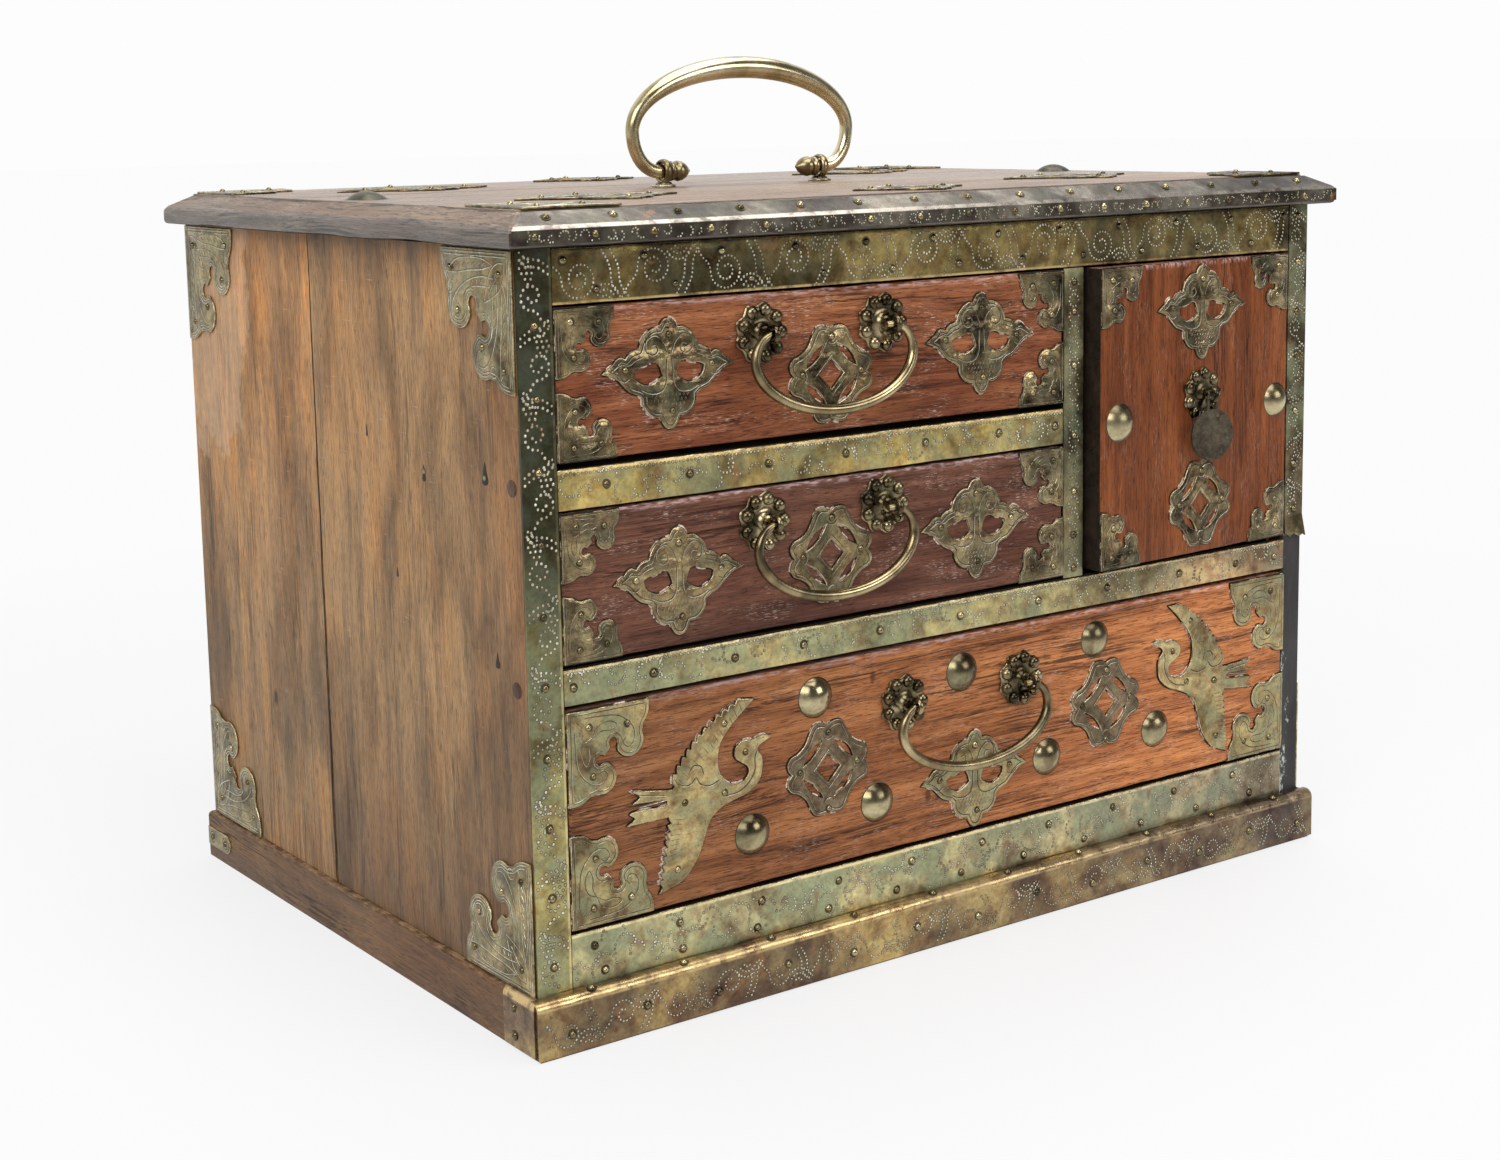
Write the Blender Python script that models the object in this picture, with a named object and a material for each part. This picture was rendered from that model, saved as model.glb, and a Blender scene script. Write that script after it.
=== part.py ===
"""Jewelry chest: brass-bound hardwood case with three drawers, one small door and a carry handle.

Sizes are in millimetres and are turned to Blender's metres when a mesh is made. X runs along the front,
Y runs from the front to the back, Z is up. The origin is on the underside of the plinth, below the middle
of the case.
"""
import math

import bmesh
import bpy
from mathutils import Matrix, Vector

MM = 0.001

# Case
CASE_W = 400.0
CASE_D = 286.0
PLINTH_H = 21.0
LID_UNDER = 287.25
LID_TOP = 300.0
GAP = 0.3                 # between neighbouring pieces
BRASS = 0.8               # thickness of the brass sheet
PLATE_PROUD = 0.9         # how far a nailed plate stands off its board
PLATE_SUNK = 0.5          # how far its solid reaches into the board

X_LEFT = -CASE_W / 2
X_RIGHT = CASE_W / 2
Y_FRONT = -CASE_D / 2     # outer face of the brass on the front
Y_BACK = CASE_D / 2
Y_WOOD = Y_FRONT + BRASS + GAP
IN_LEFT = -186.5          # inner face of the left side
IN_RIGHT = 189.0          # inner face of the right side
Z_BOARDS = PLINTH_H + GAP
Z_CASE_TOP = LID_UNDER - GAP

# Face frame: every band is (low, high)
STILE_L_IN = -186.0
STILE_R_IN = 188.5
TOP_RAIL_Z = (266.9, 286.5)
UPPER_RAIL_Z = (195.2, 209.7)
LOWER_RAIL_Z = (125.5, 139.0)
BOTTOM_RAIL_Z = (21.6, 42.0)
DIVIDER_X = (54.0, 65.0)
TORN_END_Z = 139.5        # where the right stile's brass is torn off
TORN_BEND = 2.2           # how far its torn end stands off the wood
TORN_BEND_Z = 149.0       # where it starts to bend

BACK_T = 10.5             # thickness of the back panel
RAIL_DEPTH = 15.0         # of the front rails, front to back
FLOOR_T = 10.0
Y_INSIDE = Y_BACK - BACK_T - GAP
SEAM_Y = 19.5             # seam between the two boards of the left side
LID_SEAM_Y = 40.0

# Plinth and lid
PLINTH_SIDE = 2.5
PLINTH_FRONT = 5.7
PLINTH_BACK = 3.7
PLINTH_ROUND = 2.4
PLINTH_EAR = 15.0         # brass that is folded round the plinth's ends
LID_SIDE = 7.1
LID_FRONT = 10.2
LID_BACK = 6.4
LID_EDGE_H = 6.3
LID_BEVEL_IN = 9.8

# Drawers: front board (x low, x high, z low, z high), top of the box behind it
FRONT_T = 12.0
DRAWER_SIDE_T = 7.0
DRAWER_BOTTOM_T = 5.0
DRAWER_BACK_LOWER = 4.0   # by which the back is lower than the sides
DRAWER_PLAY = 1.0         # by which the box is narrower than its front board, on each side
DRAWERS = {
    "drawer_1": {"x": (-185.4, 53.4), "z": (212.0, 266.0), "floor": UPPER_RAIL_Z[1], "top": 261.0},
    "drawer_2": {"x": (-185.4, 53.4), "z": (140.3, 194.2), "floor": LOWER_RAIL_Z[1], "top": 190.0},
    "drawer_3": {"x": (-185.4, 187.9), "z": (43.2, 123.8), "floor": BOTTOM_RAIL_Z[1], "top": 118.0},
}
DRAWER_LENGTH = 256.0     # behind the front board

# Pulls
ROSETTE_R = 11.4
ROSETTE_BEADS = 8
EYE_PROUD = 8.5           # pivot of a bail, off the drawer front
EYE_R = 2.9               # middle of the eye's ring
EYE_WIRE = 0.75
BAIL_WIRE = 1.9
BAIL_END_WIRE = 1.45
BAIL_BOW = 3.0
PULLS = {                 # middle of the bail, half distance of its posts, pivot height, drop, half width
    "drawer_1": {"x": -70.0, "half": 28.5, "z": 251.5, "drop": 29.6, "wide": 36.8},
    "drawer_2": {"x": -70.0, "half": 28.5, "z": 181.5, "drop": 29.6, "wide": 36.8},
    "drawer_3": {"x": -1.5, "half": 30.7, "z": 101.5, "drop": 27.8, "wide": 38.1},
}

# Door, drawn closed and then turned about its pivot pins
DOOR_X_LOW = 67.5
DOOR_Z = (141.0, 266.1)
DOOR_T = 11.0
DOOR_PROUD = 0.8
DOOR_X_HIGH = 187.9
DOOR_FLAT_HIGH = 186.2    # where its front starts to round towards the pivot edge
PIVOT_X = 180.6           # far enough in for the dome beside it to swing clear of the stile
PIVOT_Y = -140.0
DOOR_AJAR = 3.2           # degrees
PIN_R = 0.9
PIN_REACH = 4.0
PIN_HOLE_R = 1.3
DOOR_MID_X = 129.5
DOOR_ROSETTE_Z = 209.5
DISC_R = 11.0
DISC_T = 1.6
DISC_DROP = 17.0
DISC_EYE_PROUD = 6.0      # pivot of the disc, off the door's rosette
STAPLE_WIRE = 0.7

# Ornament plates: (x, z) of their middles on the front
CORNER_SMALL = 24.0
CORNER_LARGE = 34.5
CORNER_SIDE = 49.5
DOME_R = 7.3
DOME_H = 4.2
CORNER_INSET = 0.5        # from the edges of a front board
BATS = {
    "drawer_1": [(-138.8, 241.0), (8.7, 240.8)],
    "drawer_2": [(-136.5, 165.5), (5.8, 167.3)],
    "drawer_3": [(4.7, 65.0)],
}
COINS = {
    "drawer_1": [(-65.8, 233.8)],
    "drawer_2": [(-66.8, 165.2)],
    "drawer_3": [(-69.7, 82.3), (77.9, 83.0)],
}
DOMES = [
    (-105.7, 63.2), (-75.2, 110.7), (-45.5, 63.7), (-1.5, 108.8), (44.7, 65.5), (71.8, 111.1), (107.7, 66.2),
]
DOOR_BAT_Z = 245.5
DOOR_COIN_Z = 162.5
DOOR_DOMES = [(79.0, 202.0), (179.5, 202.3)]
DOOR_DOME_SIZE = 0.92
CRANE_LEFT = (-130.0, 83.0)
CRANE_RIGHT = (137.0, 84.0)
CRANE_RIGHT_TURN = 6.0

# Carry handle on the lid
HANDLE_Y = 2.0
HANDLE_POST_X = 42.0
HANDLE_EYE_Z = 306.6
HANDLE_HALF_W = 57.4      # to the middle of the rod
HANDLE_WIDE_Z = 323.5
HANDLE_CROWN_Z = 350.8
HANDLE_ROD_CROWN = 4.7
HANDLE_ROD_SIDE = 2.9
HANDLE_RING_R = 4.4
HANDLE_RING_WIRE = 0.9
LID_DOME_X = 183.0
LID_BATS = [              # x, y, scale
    (-122.0, -73.0, 1.3), (122.0, -73.0, 1.3), (-119.0, 84.0, 1.3), (121.0, 80.0, 1.3),
    (-5.0, -117.0, 1.0), (-8.0, 122.0, 1.0),
]
LID_CORNER = 40.0
LID_FOOT_R = 9.0          # round plates below the handle's posts


def arc(cx, cy, radius, start, end, steps):
    """Points on a circle, from one angle to the other in degrees."""
    angles = [math.radians(start + (end - start) * i / steps) for i in range(steps + 1)]
    return [(cx + radius * math.cos(a), cy + radius * math.sin(a)) for a in angles]


def mirrored(points):
    """Adds the mirror image in the second axis, so that half an outline becomes a whole one."""
    return points + [(-x, y) for x, y in reversed(points) if x > 1e-6]


def material(name, color, roughness, metallic=0.0):
    mat = bpy.data.materials.get(name) or bpy.data.materials.new(name)
    mat.use_nodes = True
    shader = mat.node_tree.nodes["Principled BSDF"]
    shader.inputs["Base Color"].default_value = (*color, 1.0)
    shader.inputs["Roughness"].default_value = roughness
    shader.inputs["Metallic"].default_value = metallic
    return mat


def front_wood():
    return material("front_wood", (0.23, 0.085, 0.045), 0.38)


def side_wood():
    return material("side_wood", (0.24, 0.13, 0.065), 0.5)


def inner_wood():
    return material("inner_wood", (0.36, 0.25, 0.15), 0.7)


def edge_wood():
    return material("edge_wood", (0.13, 0.08, 0.05), 0.45)


def aged_brass():
    return material("aged_brass", (0.33, 0.27, 0.13), 0.4, 1.0)


def plate_brass():
    return material("plate_brass", (0.27, 0.24, 0.15), 0.45, 1.0)


def bright_brass():
    return material("bright_brass", (0.6, 0.45, 0.2), 0.22, 1.0)


def make(name, bm, mat):
    """Turns a bmesh in millimetres into a named object in metres."""
    bmesh.ops.recalc_face_normals(bm, faces=bm.faces)
    bmesh.ops.scale(bm, vec=(MM, MM, MM), verts=bm.verts)
    mesh = bpy.data.meshes.new(name)
    bm.to_mesh(mesh)
    bm.free()
    obj = bpy.data.objects.new(name, mesh)
    bpy.context.scene.collection.objects.link(obj)
    mesh.materials.append(mat)
    return obj


def smooth(obj, angle=35.0):
    obj.data.shade_smooth()
    obj.data.set_sharp_from_angle(angle=math.radians(angle))
    return obj


def box_mesh(x, y, z):
    bm = bmesh.new()
    size = (x[1] - x[0], y[1] - y[0], z[1] - z[0])
    middle = ((x[0] + x[1]) / 2, (y[0] + y[1]) / 2, (z[0] + z[1]) / 2)
    bmesh.ops.create_cube(bm, size=1.0, matrix=Matrix.Translation(middle) @ Matrix.Diagonal((*size, 1.0)))
    return bm


def board(name, x, y, z, mat, rounding=0.0):
    """A plain board; with a rounding its front edges are eased."""
    bm = box_mesh(x, y, z)
    if rounding:
        edges = [e for e in bm.edges if all(abs(v.co.y - y[0]) < 1e-6 for v in e.verts)]
        bmesh.ops.bevel(bm, geom=edges, offset=rounding, segments=2, profile=0.5, affect="EDGES")
    return make(name, bm, mat)


def slab_mesh(outline, holes, depth, place):
    """A flat plate with holes: the outline lies in a plane, depth goes along that plane's normal.

    place maps (u, v, w) to (x, y, z), with w from the first to the second value of depth.
    """
    bm = bmesh.new()
    for loop in [outline, *holes]:
        verts = [bm.verts.new(place(u, v, depth[0])) for u, v in loop]
        for i, vert in enumerate(verts):
            bm.edges.new((vert, verts[(i + 1) % len(verts)]))
    bmesh.ops.triangle_fill(bm, use_beauty=True, use_dissolve=False, edges=bm.edges[:])
    new = bmesh.ops.extrude_face_region(bm, geom=bm.faces[:])
    shift = Vector(place(0, 0, depth[1])) - Vector(place(0, 0, depth[0]))
    bmesh.ops.translate(bm, vec=shift, verts=[g for g in new["geom"] if isinstance(g, bmesh.types.BMVert)])
    return bm


def on_front(cx, cz, turn=0.0, mirror=1):
    """Placement of a plate on a front: u to the right, v up, w off the drawer front."""
    c, s = math.cos(math.radians(turn)), math.sin(math.radians(turn))

    def place(u, v, w):
        return (cx + mirror * (c * u - s * v), Y_FRONT - w, cz + s * u + c * v)
    return place


def profile_along_x(name, points, x, mat):
    """A board whose (y, z) outline runs along X."""
    return make(name, slab_mesh(points, [], x, lambda u, v, w: (w, u, v)), mat)


def tube_mesh(path, radii, sides, flat=1.0, normal=(0, 1, 0), closed=False):
    """A tube along a path, its section squeezed across the path's plane by flat."""
    bm = bmesh.new()
    across = Vector(normal).normalized()
    points = [Vector(p) for p in path]
    count = len(points)
    rings = []
    for i, point in enumerate(points):
        ahead = points[(i + 1) % count] if closed else points[min(i + 1, count - 1)]
        behind = points[i - 1] if closed else points[max(i - 1, 0)]
        along = (ahead - behind).normalized()
        side = along.cross(across).normalized()
        up = side.cross(along).normalized()
        ring = []
        for k in range(sides):
            a = 2 * math.pi * (k + 0.5) / sides
            ring.append(bm.verts.new(point + radii[i] * (math.cos(a) * side + flat * math.sin(a) * up)))
        rings.append(ring)
    for i in range(count if closed else count - 1):
        low, high = rings[i], rings[(i + 1) % count]
        for k in range(sides):
            bm.faces.new((low[k], low[(k + 1) % sides], high[(k + 1) % sides], high[k]))
    if not closed:
        bm.faces.new(rings[0])
        bm.faces.new(rings[-1])
    return bm


def turned_mesh(profile, sides, matrix):
    """A solid of revolution about local Z; profile is (radius, height) and starts and ends on the axis."""
    bm = bmesh.new()
    rings = []
    for radius, height in profile:
        if radius < 1e-6:
            rings.append([bm.verts.new((0, 0, height))])
            continue
        angles = [2 * math.pi * k / sides for k in range(sides)]
        rings.append([bm.verts.new((radius * math.cos(a), radius * math.sin(a), height)) for a in angles])
    for low, high in zip(rings, rings[1:]):
        for k in range(sides):
            after = k + 1
            corners = [low[k % len(low)], low[after % len(low)], high[after % len(high)], high[k % len(high)]]
            bm.faces.new(list(dict.fromkeys(corners)))
    bmesh.ops.transform(bm, matrix=matrix, verts=bm.verts)
    return bm


def facing_front(x, y, z):
    """Turns local Z towards the viewer of the front and moves it to a place."""
    return Matrix.Translation((x, y, z)) @ Matrix.Rotation(math.radians(90), 4, "X")


def combine(base, others, operation="UNION"):
    """Joins solids to a base, or cuts them out of it, and deletes them."""
    for other in others:
        cut = base.modifiers.new("combine", "BOOLEAN")
        cut.object = other
        cut.operation = operation
        cut.solver = "EXACT"
        graph = bpy.context.evaluated_depsgraph_get()
        result = bpy.data.meshes.new_from_object(base.evaluated_get(graph))
        base.modifiers.clear()
        old = base.data
        base.data = result
        bpy.data.meshes.remove(old)
        bpy.data.objects.remove(other)
    base.data.name = base.name
    return base


def tidy(obj):
    """Drops the slivers that a row of cuts leaves in flat faces."""
    bm = bmesh.new()
    bm.from_mesh(obj.data)
    bmesh.ops.dissolve_degenerate(bm, dist=1e-6, edges=bm.edges)
    flat = math.radians(0.2)
    bmesh.ops.dissolve_limit(bm, angle_limit=flat, verts=bm.verts, edges=bm.edges)
    bmesh.ops.triangulate(bm, faces=bm.faces)
    bm.to_mesh(obj.data)
    bm.free()
    return obj


def settle(obj, parent):
    """Gives a piece its parent's origin, so that it turns and slides about it."""
    shift = parent.location.copy()
    obj.data.transform(Matrix.Translation(-shift))
    obj.parent = parent
    return obj


def carry(inner, outer):
    """Lets one joint's empty ride on another's."""
    inner.location -= outer.location
    inner.parent = outer


def joint_empty(name, x, y, z):
    empty = bpy.data.objects.new(name, None)
    empty.location = (x * MM, y * MM, z * MM)
    empty.empty_display_size = 0.02
    bpy.context.scene.collection.objects.link(empty)
    return empty


# Outlines of the ornament plates


def corner_outline(steps):
    """Ogee corner mount, 50 long: two arms, each with a lobe, and a heart-shaped keyhole between them."""
    arm = [(50.0, 0.0), (49.6, 4.5), (48.4, 8.6), (46.2, 12.6)]
    lobe = arc(37.6, 20.2, 8.6, -25, 150, steps + 1)
    pocket = arc(27.9, 19.7, 3.1, 50, -225, steps)
    half = arm + lobe + pocket
    return [(0.0, 0.0)] + half + [(y, x) for x, y in reversed(half)]


def bat_outline():
    """Butterfly plate: crest, two shoulders, pointed wing tips and a rounded tail."""
    crest = [(0.0, 19.5)] + arc(0.0, 15.3, 4.2, 60, 5, 1)
    shoulder = arc(5.6, 8.6, 7.2, 78, 6, 2)
    wing = [(15.8, 7.5), (18.8, 5.9), (21.4, 6.1), (28.3, 0.8), (24.3, -0.2), (20.4, -2.6)]
    flank = [(16.0, -5.9), (12.0, -8.6), (11.0, -12.0), (7.4, -16.0), (4.4, -16.6)]
    tail = [(4.1, -18.1), (0.0, -21.2)]
    return mirrored(crest + shoulder + wing + flank + tail)


def bat_eyes():
    top = [(2.9, -1.7), (3.8, 0.9), (4.8, 3.1), (8.3, 3.1), (10.6, 2.1), (15.2, 0.9)]
    eye = top + [(13.0, -3.2), (8.4, -4.6)]
    return [eye, [(-x, y) for x, y in reversed(eye)]]


def coin_outline():
    """Coin plate: eight lobes in pairs, with a slack curve between the pairs."""
    quarter = [(0.0, 16.8), (1.4, 18.1), (3.8, 18.1), (5.7, 16.4), (7.2, 12.2), (10.4, 8.8),
               (15.2, 6.9), (18.6, 5.2), (19.7, 2.6), (19.0, 1.0), (17.9, 0.0)]
    half = quarter + [(x, -y) for x, y in reversed(quarter[:-1])]
    return mirrored(half)


def coin_holes():
    """The square in the middle and the four leaves round it."""
    square = [(5.8, 0.0), (0.0, 5.8), (-5.8, 0.0), (0.0, -5.8)]
    leaf = [(2.5, 10.7), (5.2, 8.9), (8.8, 5.5), (11.2, 2.3), (8.3, 3.9), (4.6, 7.0)]
    leaves = [[(sx * x, sy * y) for x, y in leaf] for sx in (1, -1) for sy in (1, -1)]
    return [square, *leaves]


def saw_edge(start, end, teeth, depth, bow=0.0):
    """Feather edge: teeth between two points, standing off their line to its left, the line bowed by bow."""
    a, b = Vector(start), Vector(end)
    along = b - a
    left = Vector((-along.y, along.x)).normalized()
    points = []
    for i in range(teeth):
        for part, height in ((0.0, 0.0), (0.75, depth)):
            t = (i + part) / teeth
            p = a + along * t + left * (height + bow * 4 * t * (1 - t))
            points.append((p.x, p.y))
    return points


def crane_outline():
    """Flying crane seen from the side: raised and lowered wing, two trailing legs, curved neck and beak."""
    beak = [(33.5, 16.6), (27.0, 13.4)]
    neck = [(29.0, 7.0), (27.6, 1.0), (22.8, -2.8), (15.8, -4.7), (5.1, -9.9)]
    low_wing = [(2.6, -15.0), (0.4, -20.5), (-3.0, -26.0), (-8.6, -30.8), (-18.6, -33.8)]
    low_feathers = saw_edge((-17.0, -31.6), (-11.8, -5.2), 9, 1.6)
    low_leg = [(-31.8, -5.6), (-28.2, -3.4), (-30.4, -1.5), (-28.0, -0.6), (-15.4, -1.0), (-14.2, 0.0)]
    high_leg = [(-15.6, 1.2), (-29.0, 2.3), (-25.9, 4.4), (-29.6, 7.2), (-25.7, 6.7), (-11.4, 4.6)]
    high_feathers = saw_edge((-11.6, 6.8), (20.2, 32.6), 12, 1.5, 3.6)
    high_wing = [(25.8, 32.4), (20.6, 28.6), (14.8, 23.8), (10.4, 18.6), (8.8, 13.6), (9.0, 8.4)]
    bay = [(11.4, 3.8), (15.4, 1.5), (19.6, 1.5), (22.5, 4.0), (22.3, 6.8), (19.6, 8.8)]
    head = [(16.7, 11.0), (16.4, 14.2), (18.6, 16.7), (22.0, 17.3), (25.1, 16.9), (29.7, 18.0)]
    wings_and_legs = low_wing + low_feathers + low_leg + high_leg + high_feathers + high_wing
    return beak + neck + wings_and_legs + bay + head


# Small solids that are joined to boards


def plate(outline, holes, place):
    return make("plate", slab_mesh(outline, holes, (-PLATE_SUNK, PLATE_PROUD), place), plate_brass())


def front_corners(x, z, size):
    """Four corner mounts on a front board."""
    scale = size / 50.0
    outline = corner_outline(2)
    plates = []
    for cx, sx in ((x[0] + CORNER_INSET, 1), (x[1] - CORNER_INSET, -1)):
        for cz, sz in ((z[0] + CORNER_INSET, 1), (z[1] - CORNER_INSET, -1)):
            points = [(sx * scale * u, sz * scale * v) for u, v in outline]
            plates.append(plate(points, [], on_front(cx, cz)))
    return plates


def dome(x, z, size=1.0):
    """Domed nail head, half let into the board."""
    sphere_r = (DOME_R ** 2 + DOME_H ** 2) / (2 * DOME_H)
    half = math.asin(DOME_R / sphere_r)
    angles = [half, 0.68 * half, 0.36 * half, 0.0]
    cap = [(sphere_r * math.sin(a), sphere_r * math.cos(a) - sphere_r + DOME_H) for a in angles]
    profile = [(0.0, -PLATE_SUNK), (DOME_R, -PLATE_SUNK), *cap]
    where = facing_front(x, Y_FRONT, z) @ Matrix.Diagonal((size, size, size, 1.0))
    return make("dome", turned_mesh(profile, 12, where), plate_brass())


def rosette(name, x, y, z, proud=EYE_PROUD):
    """Flower rosette: a disc with beads round its rim, and a stem that ends in an eye."""
    disc = [(0, 0), (ROSETTE_R - 2.2, 0), (ROSETTE_R - 2.4, 1.0), (0, 2.4)]
    base = make(name, turned_mesh(disc, 12, facing_front(x, y, z)), plate_brass())
    parts = []
    bead = [(0, 0.15), (2.7, 0.15), (2.2, 2.3), (0, 3.4)]
    ring = ROSETTE_R - bead[1][0]
    for k in range(ROSETTE_BEADS):
        a = 2 * math.pi * (k + 0.5) / ROSETTE_BEADS
        where = facing_front(x + ring * math.cos(a), y, z + ring * math.sin(a))
        parts.append(make("bead", turned_mesh(bead, 6, where), plate_brass()))
    top = proud - EYE_R
    stem = [(0, 1.0), (2.3, 1.0), (1.5, min(3.4, top - 0.4)), (1.4, top), (0, top)]
    parts.append(make("stem", turned_mesh(stem, 6, facing_front(x, y, z)), plate_brass()))
    circle = [(x, v, w) for v, w in arc(y - proud, z, EYE_R, 0, 315, 7)]
    eye = tube_mesh(circle, [EYE_WIRE] * 8, 5, flat=1.5, normal=(1, 0, 0), closed=True)
    parts.append(make("eye", eye, plate_brass()))
    combine(base, parts)
    return smooth(tidy(base))


# Case


def left_side():
    """Two boards side by side. The seam between them has opened towards the bottom."""
    opened = 2.4
    seam = [(SEAM_Y - opened, Z_BOARDS), (SEAM_Y - GAP, Z_CASE_TOP)]
    front = [(Y_WOOD, Z_BOARDS), *seam, (Y_WOOD, Z_CASE_TOP)]
    profile_along_x("left_side_front_board", front, (X_LEFT, IN_LEFT), side_wood())
    board("left_side_back_board", (X_LEFT, IN_LEFT), (SEAM_Y, Y_BACK), (Z_BOARDS, Z_CASE_TOP), side_wood())


def right_side():
    board("right_side_board", (IN_RIGHT, X_RIGHT), (Y_WOOD, Y_BACK), (Z_BOARDS, Z_CASE_TOP), side_wood())


def pin_hole(z):
    hole = turned_mesh([(0, z[0]), (PIN_HOLE_R, z[0]), (PIN_HOLE_R, z[1]), (0, z[1])], 12,
                       Matrix.Translation((PIVOT_X, PIVOT_Y, 0)))
    return make("pin_hole", hole, edge_wood())


def case_boards():
    left, right = IN_LEFT + GAP, IN_RIGHT - GAP
    board("back_panel", (left, right), (Y_BACK - BACK_T, Y_BACK), (Z_BOARDS, Z_CASE_TOP), side_wood())
    rail_y = Y_WOOD + RAIL_DEPTH
    floor_z = BOTTOM_RAIL_Z[1] - FLOOR_T
    low = [(Y_WOOD, Z_BOARDS), (rail_y, Z_BOARDS), (rail_y, floor_z), (Y_INSIDE, floor_z),
           (Y_INSIDE, BOTTOM_RAIL_Z[1]), (Y_WOOD, BOTTOM_RAIL_Z[1])]
    profile_along_x("bottom_board", low, (left, right), edge_wood())
    shelf = board("lower_shelf", (left, right), (Y_WOOD, Y_INSIDE), LOWER_RAIL_Z, edge_wood())
    combine(shelf, [pin_hole((DOOR_Z[0] - PIN_REACH - 1.5, DOOR_Z[0]))], "DIFFERENCE")
    board("upper_shelf", (left, DIVIDER_X[0] - GAP), (Y_WOOD, Y_INSIDE), UPPER_RAIL_Z, edge_wood())
    rail = board("top_rail", (left, right), (Y_WOOD, rail_y), (TOP_RAIL_Z[0], Z_CASE_TOP), edge_wood())
    combine(rail, [pin_hole((DOOR_Z[1] - 1.0, DOOR_Z[1] + PIN_REACH + 1.5))], "DIFFERENCE")
    low_z, high_z = LOWER_RAIL_Z[1] + GAP, TOP_RAIL_Z[0] - GAP
    upright = [(Y_WOOD, low_z), (Y_INSIDE, low_z), (Y_INSIDE, Z_CASE_TOP), (rail_y + GAP, Z_CASE_TOP),
               (rail_y + GAP, high_z), (Y_WOOD, high_z)]
    profile_along_x("divider", upright, DIVIDER_X, edge_wood())


def plinth():
    """Plinth board with an eased top edge, and the brass that is folded over its front edge."""
    half = CASE_W / 2 + PLINTH_SIDE
    front = Y_FRONT - PLINTH_FRONT
    bm = box_mesh((-half, half), (front + BRASS + GAP, Y_BACK + PLINTH_BACK), (0, PLINTH_H))
    top = [e for e in bm.edges if all(v.co.z > PLINTH_H - 1e-6 for v in e.verts)]
    bmesh.ops.bevel(bm, geom=top, offset=PLINTH_ROUND, segments=3, profile=0.5, affect="EDGES")
    make("base_board", bm, edge_wood())

    outer_r = PLINTH_ROUND + BRASS + GAP
    top_z = PLINTH_H + GAP + BRASS
    inner_r = outer_r - BRASS
    y, z = front + outer_r, top_z - outer_r
    outer = [(front, 0.8)] + arc(y, z, outer_r, 180, 90, 4) + [(Y_FRONT - 0.6, top_z)]
    inner = [(Y_FRONT - 0.6, top_z - BRASS)] + arc(y, z, inner_r, 90, 180, 4) + [(front + BRASS, 0.8)]
    sheet = outer + inner
    reach = half + GAP + BRASS
    strip = profile_along_x("base_front_strip", sheet, (-reach, reach), aged_brass())
    ears = []
    for side in (-1, 1):
        x = sorted((side * (half + GAP), side * reach))
        ears.append(board("ear", x, (front + 0.2, front + PLINTH_EAR), (1.0, PLINTH_H - 3.5), aged_brass()))
    combine(strip, ears)
    tidy(strip)


def lid_profile():
    """(inset, height, extra inset below the brass) of the lid's moulded edge, from below to the top face."""
    upright = BRASS + GAP
    knee, slope = 1.6 * upright, 2 * upright
    low_bevel = LID_UNDER + LID_EDGE_H
    return [
        (1.2, LID_UNDER, upright), (0.0, LID_UNDER + 1.3, upright), (0.0, low_bevel, knee),
        (1.6, low_bevel + 1.4, slope), (LID_BEVEL_IN, LID_TOP - 0.7, slope),
        (LID_BEVEL_IN + 0.5, LID_TOP, slope),
    ]


def lid_ring(bm, inset, z, extra):
    x = CASE_W / 2 + LID_SIDE - inset
    y_low = Y_FRONT - LID_FRONT + inset + extra
    y_high = Y_BACK + LID_BACK - inset
    return [bm.verts.new(p) for p in ((-x, y_low, z), (x, y_low, z), (x, y_high, z), (-x, y_high, z))]


def thicken(line, thickness):
    """A sheet's section: an open (y, z) line and the same line moved to its right."""
    points = [Vector(p) for p in line]
    inner = []
    for i, point in enumerate(points):
        before = (point - points[i - 1]).normalized() if i else None
        after = (points[i + 1] - point).normalized() if i + 1 < len(points) else None
        along = [d for d in (before, after) if d]
        normals = [Vector((d.y, -d.x)) for d in along]
        mid = sum(normals, Vector((0.0, 0.0))).normalized()
        inner.append(point + mid * thickness / mid.dot(normals[0]))
    return [tuple(p) for p in points] + [tuple(p) for p in reversed(inner)]


def lid_plate(outline, holes, x, y, scale, turn=0.0):
    c, s = math.cos(math.radians(turn)), math.sin(math.radians(turn))

    def place(u, v, w):
        return (x + scale * (c * u - s * v), y + scale * (s * u + c * v), LID_TOP + w)
    return plate(outline, holes, place)


def lid_ornaments():
    plates = []
    for x, y, scale in LID_BATS:
        plates.append(lid_plate(bat_outline(), bat_eyes(), x, y, scale, 180.0 if y > 0 else 0.0))
    edge = LID_BEVEL_IN + 1.5
    x = CASE_W / 2 + LID_SIDE - edge
    y_low, y_high = Y_FRONT - LID_FRONT + edge, Y_BACK + LID_BACK - edge
    for turn, x, y in ((0, -x, y_low), (90, x, y_low), (180, x, y_high), (270, -x, y_high)):
        plates.append(lid_plate(corner_outline(2), [], x, y, LID_CORNER / 50.0, turn))
    foot = arc(0, 0, LID_FOOT_R, 0, 315, 7)
    face_up = Matrix.Rotation(math.radians(-90), 4, "X") @ Matrix.Translation((0, -Y_FRONT * MM, 0))
    for side in (-1, 1):
        plates.append(lid_plate(foot, [], side * HANDLE_POST_X, HANDLE_Y, 1.0))
        nail = dome(0, 0)
        nail.data.transform(Matrix.Translation((side * LID_DOME_X * MM, 0, LID_TOP * MM)) @ face_up)
        plates.append(nail)
    return plates


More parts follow.
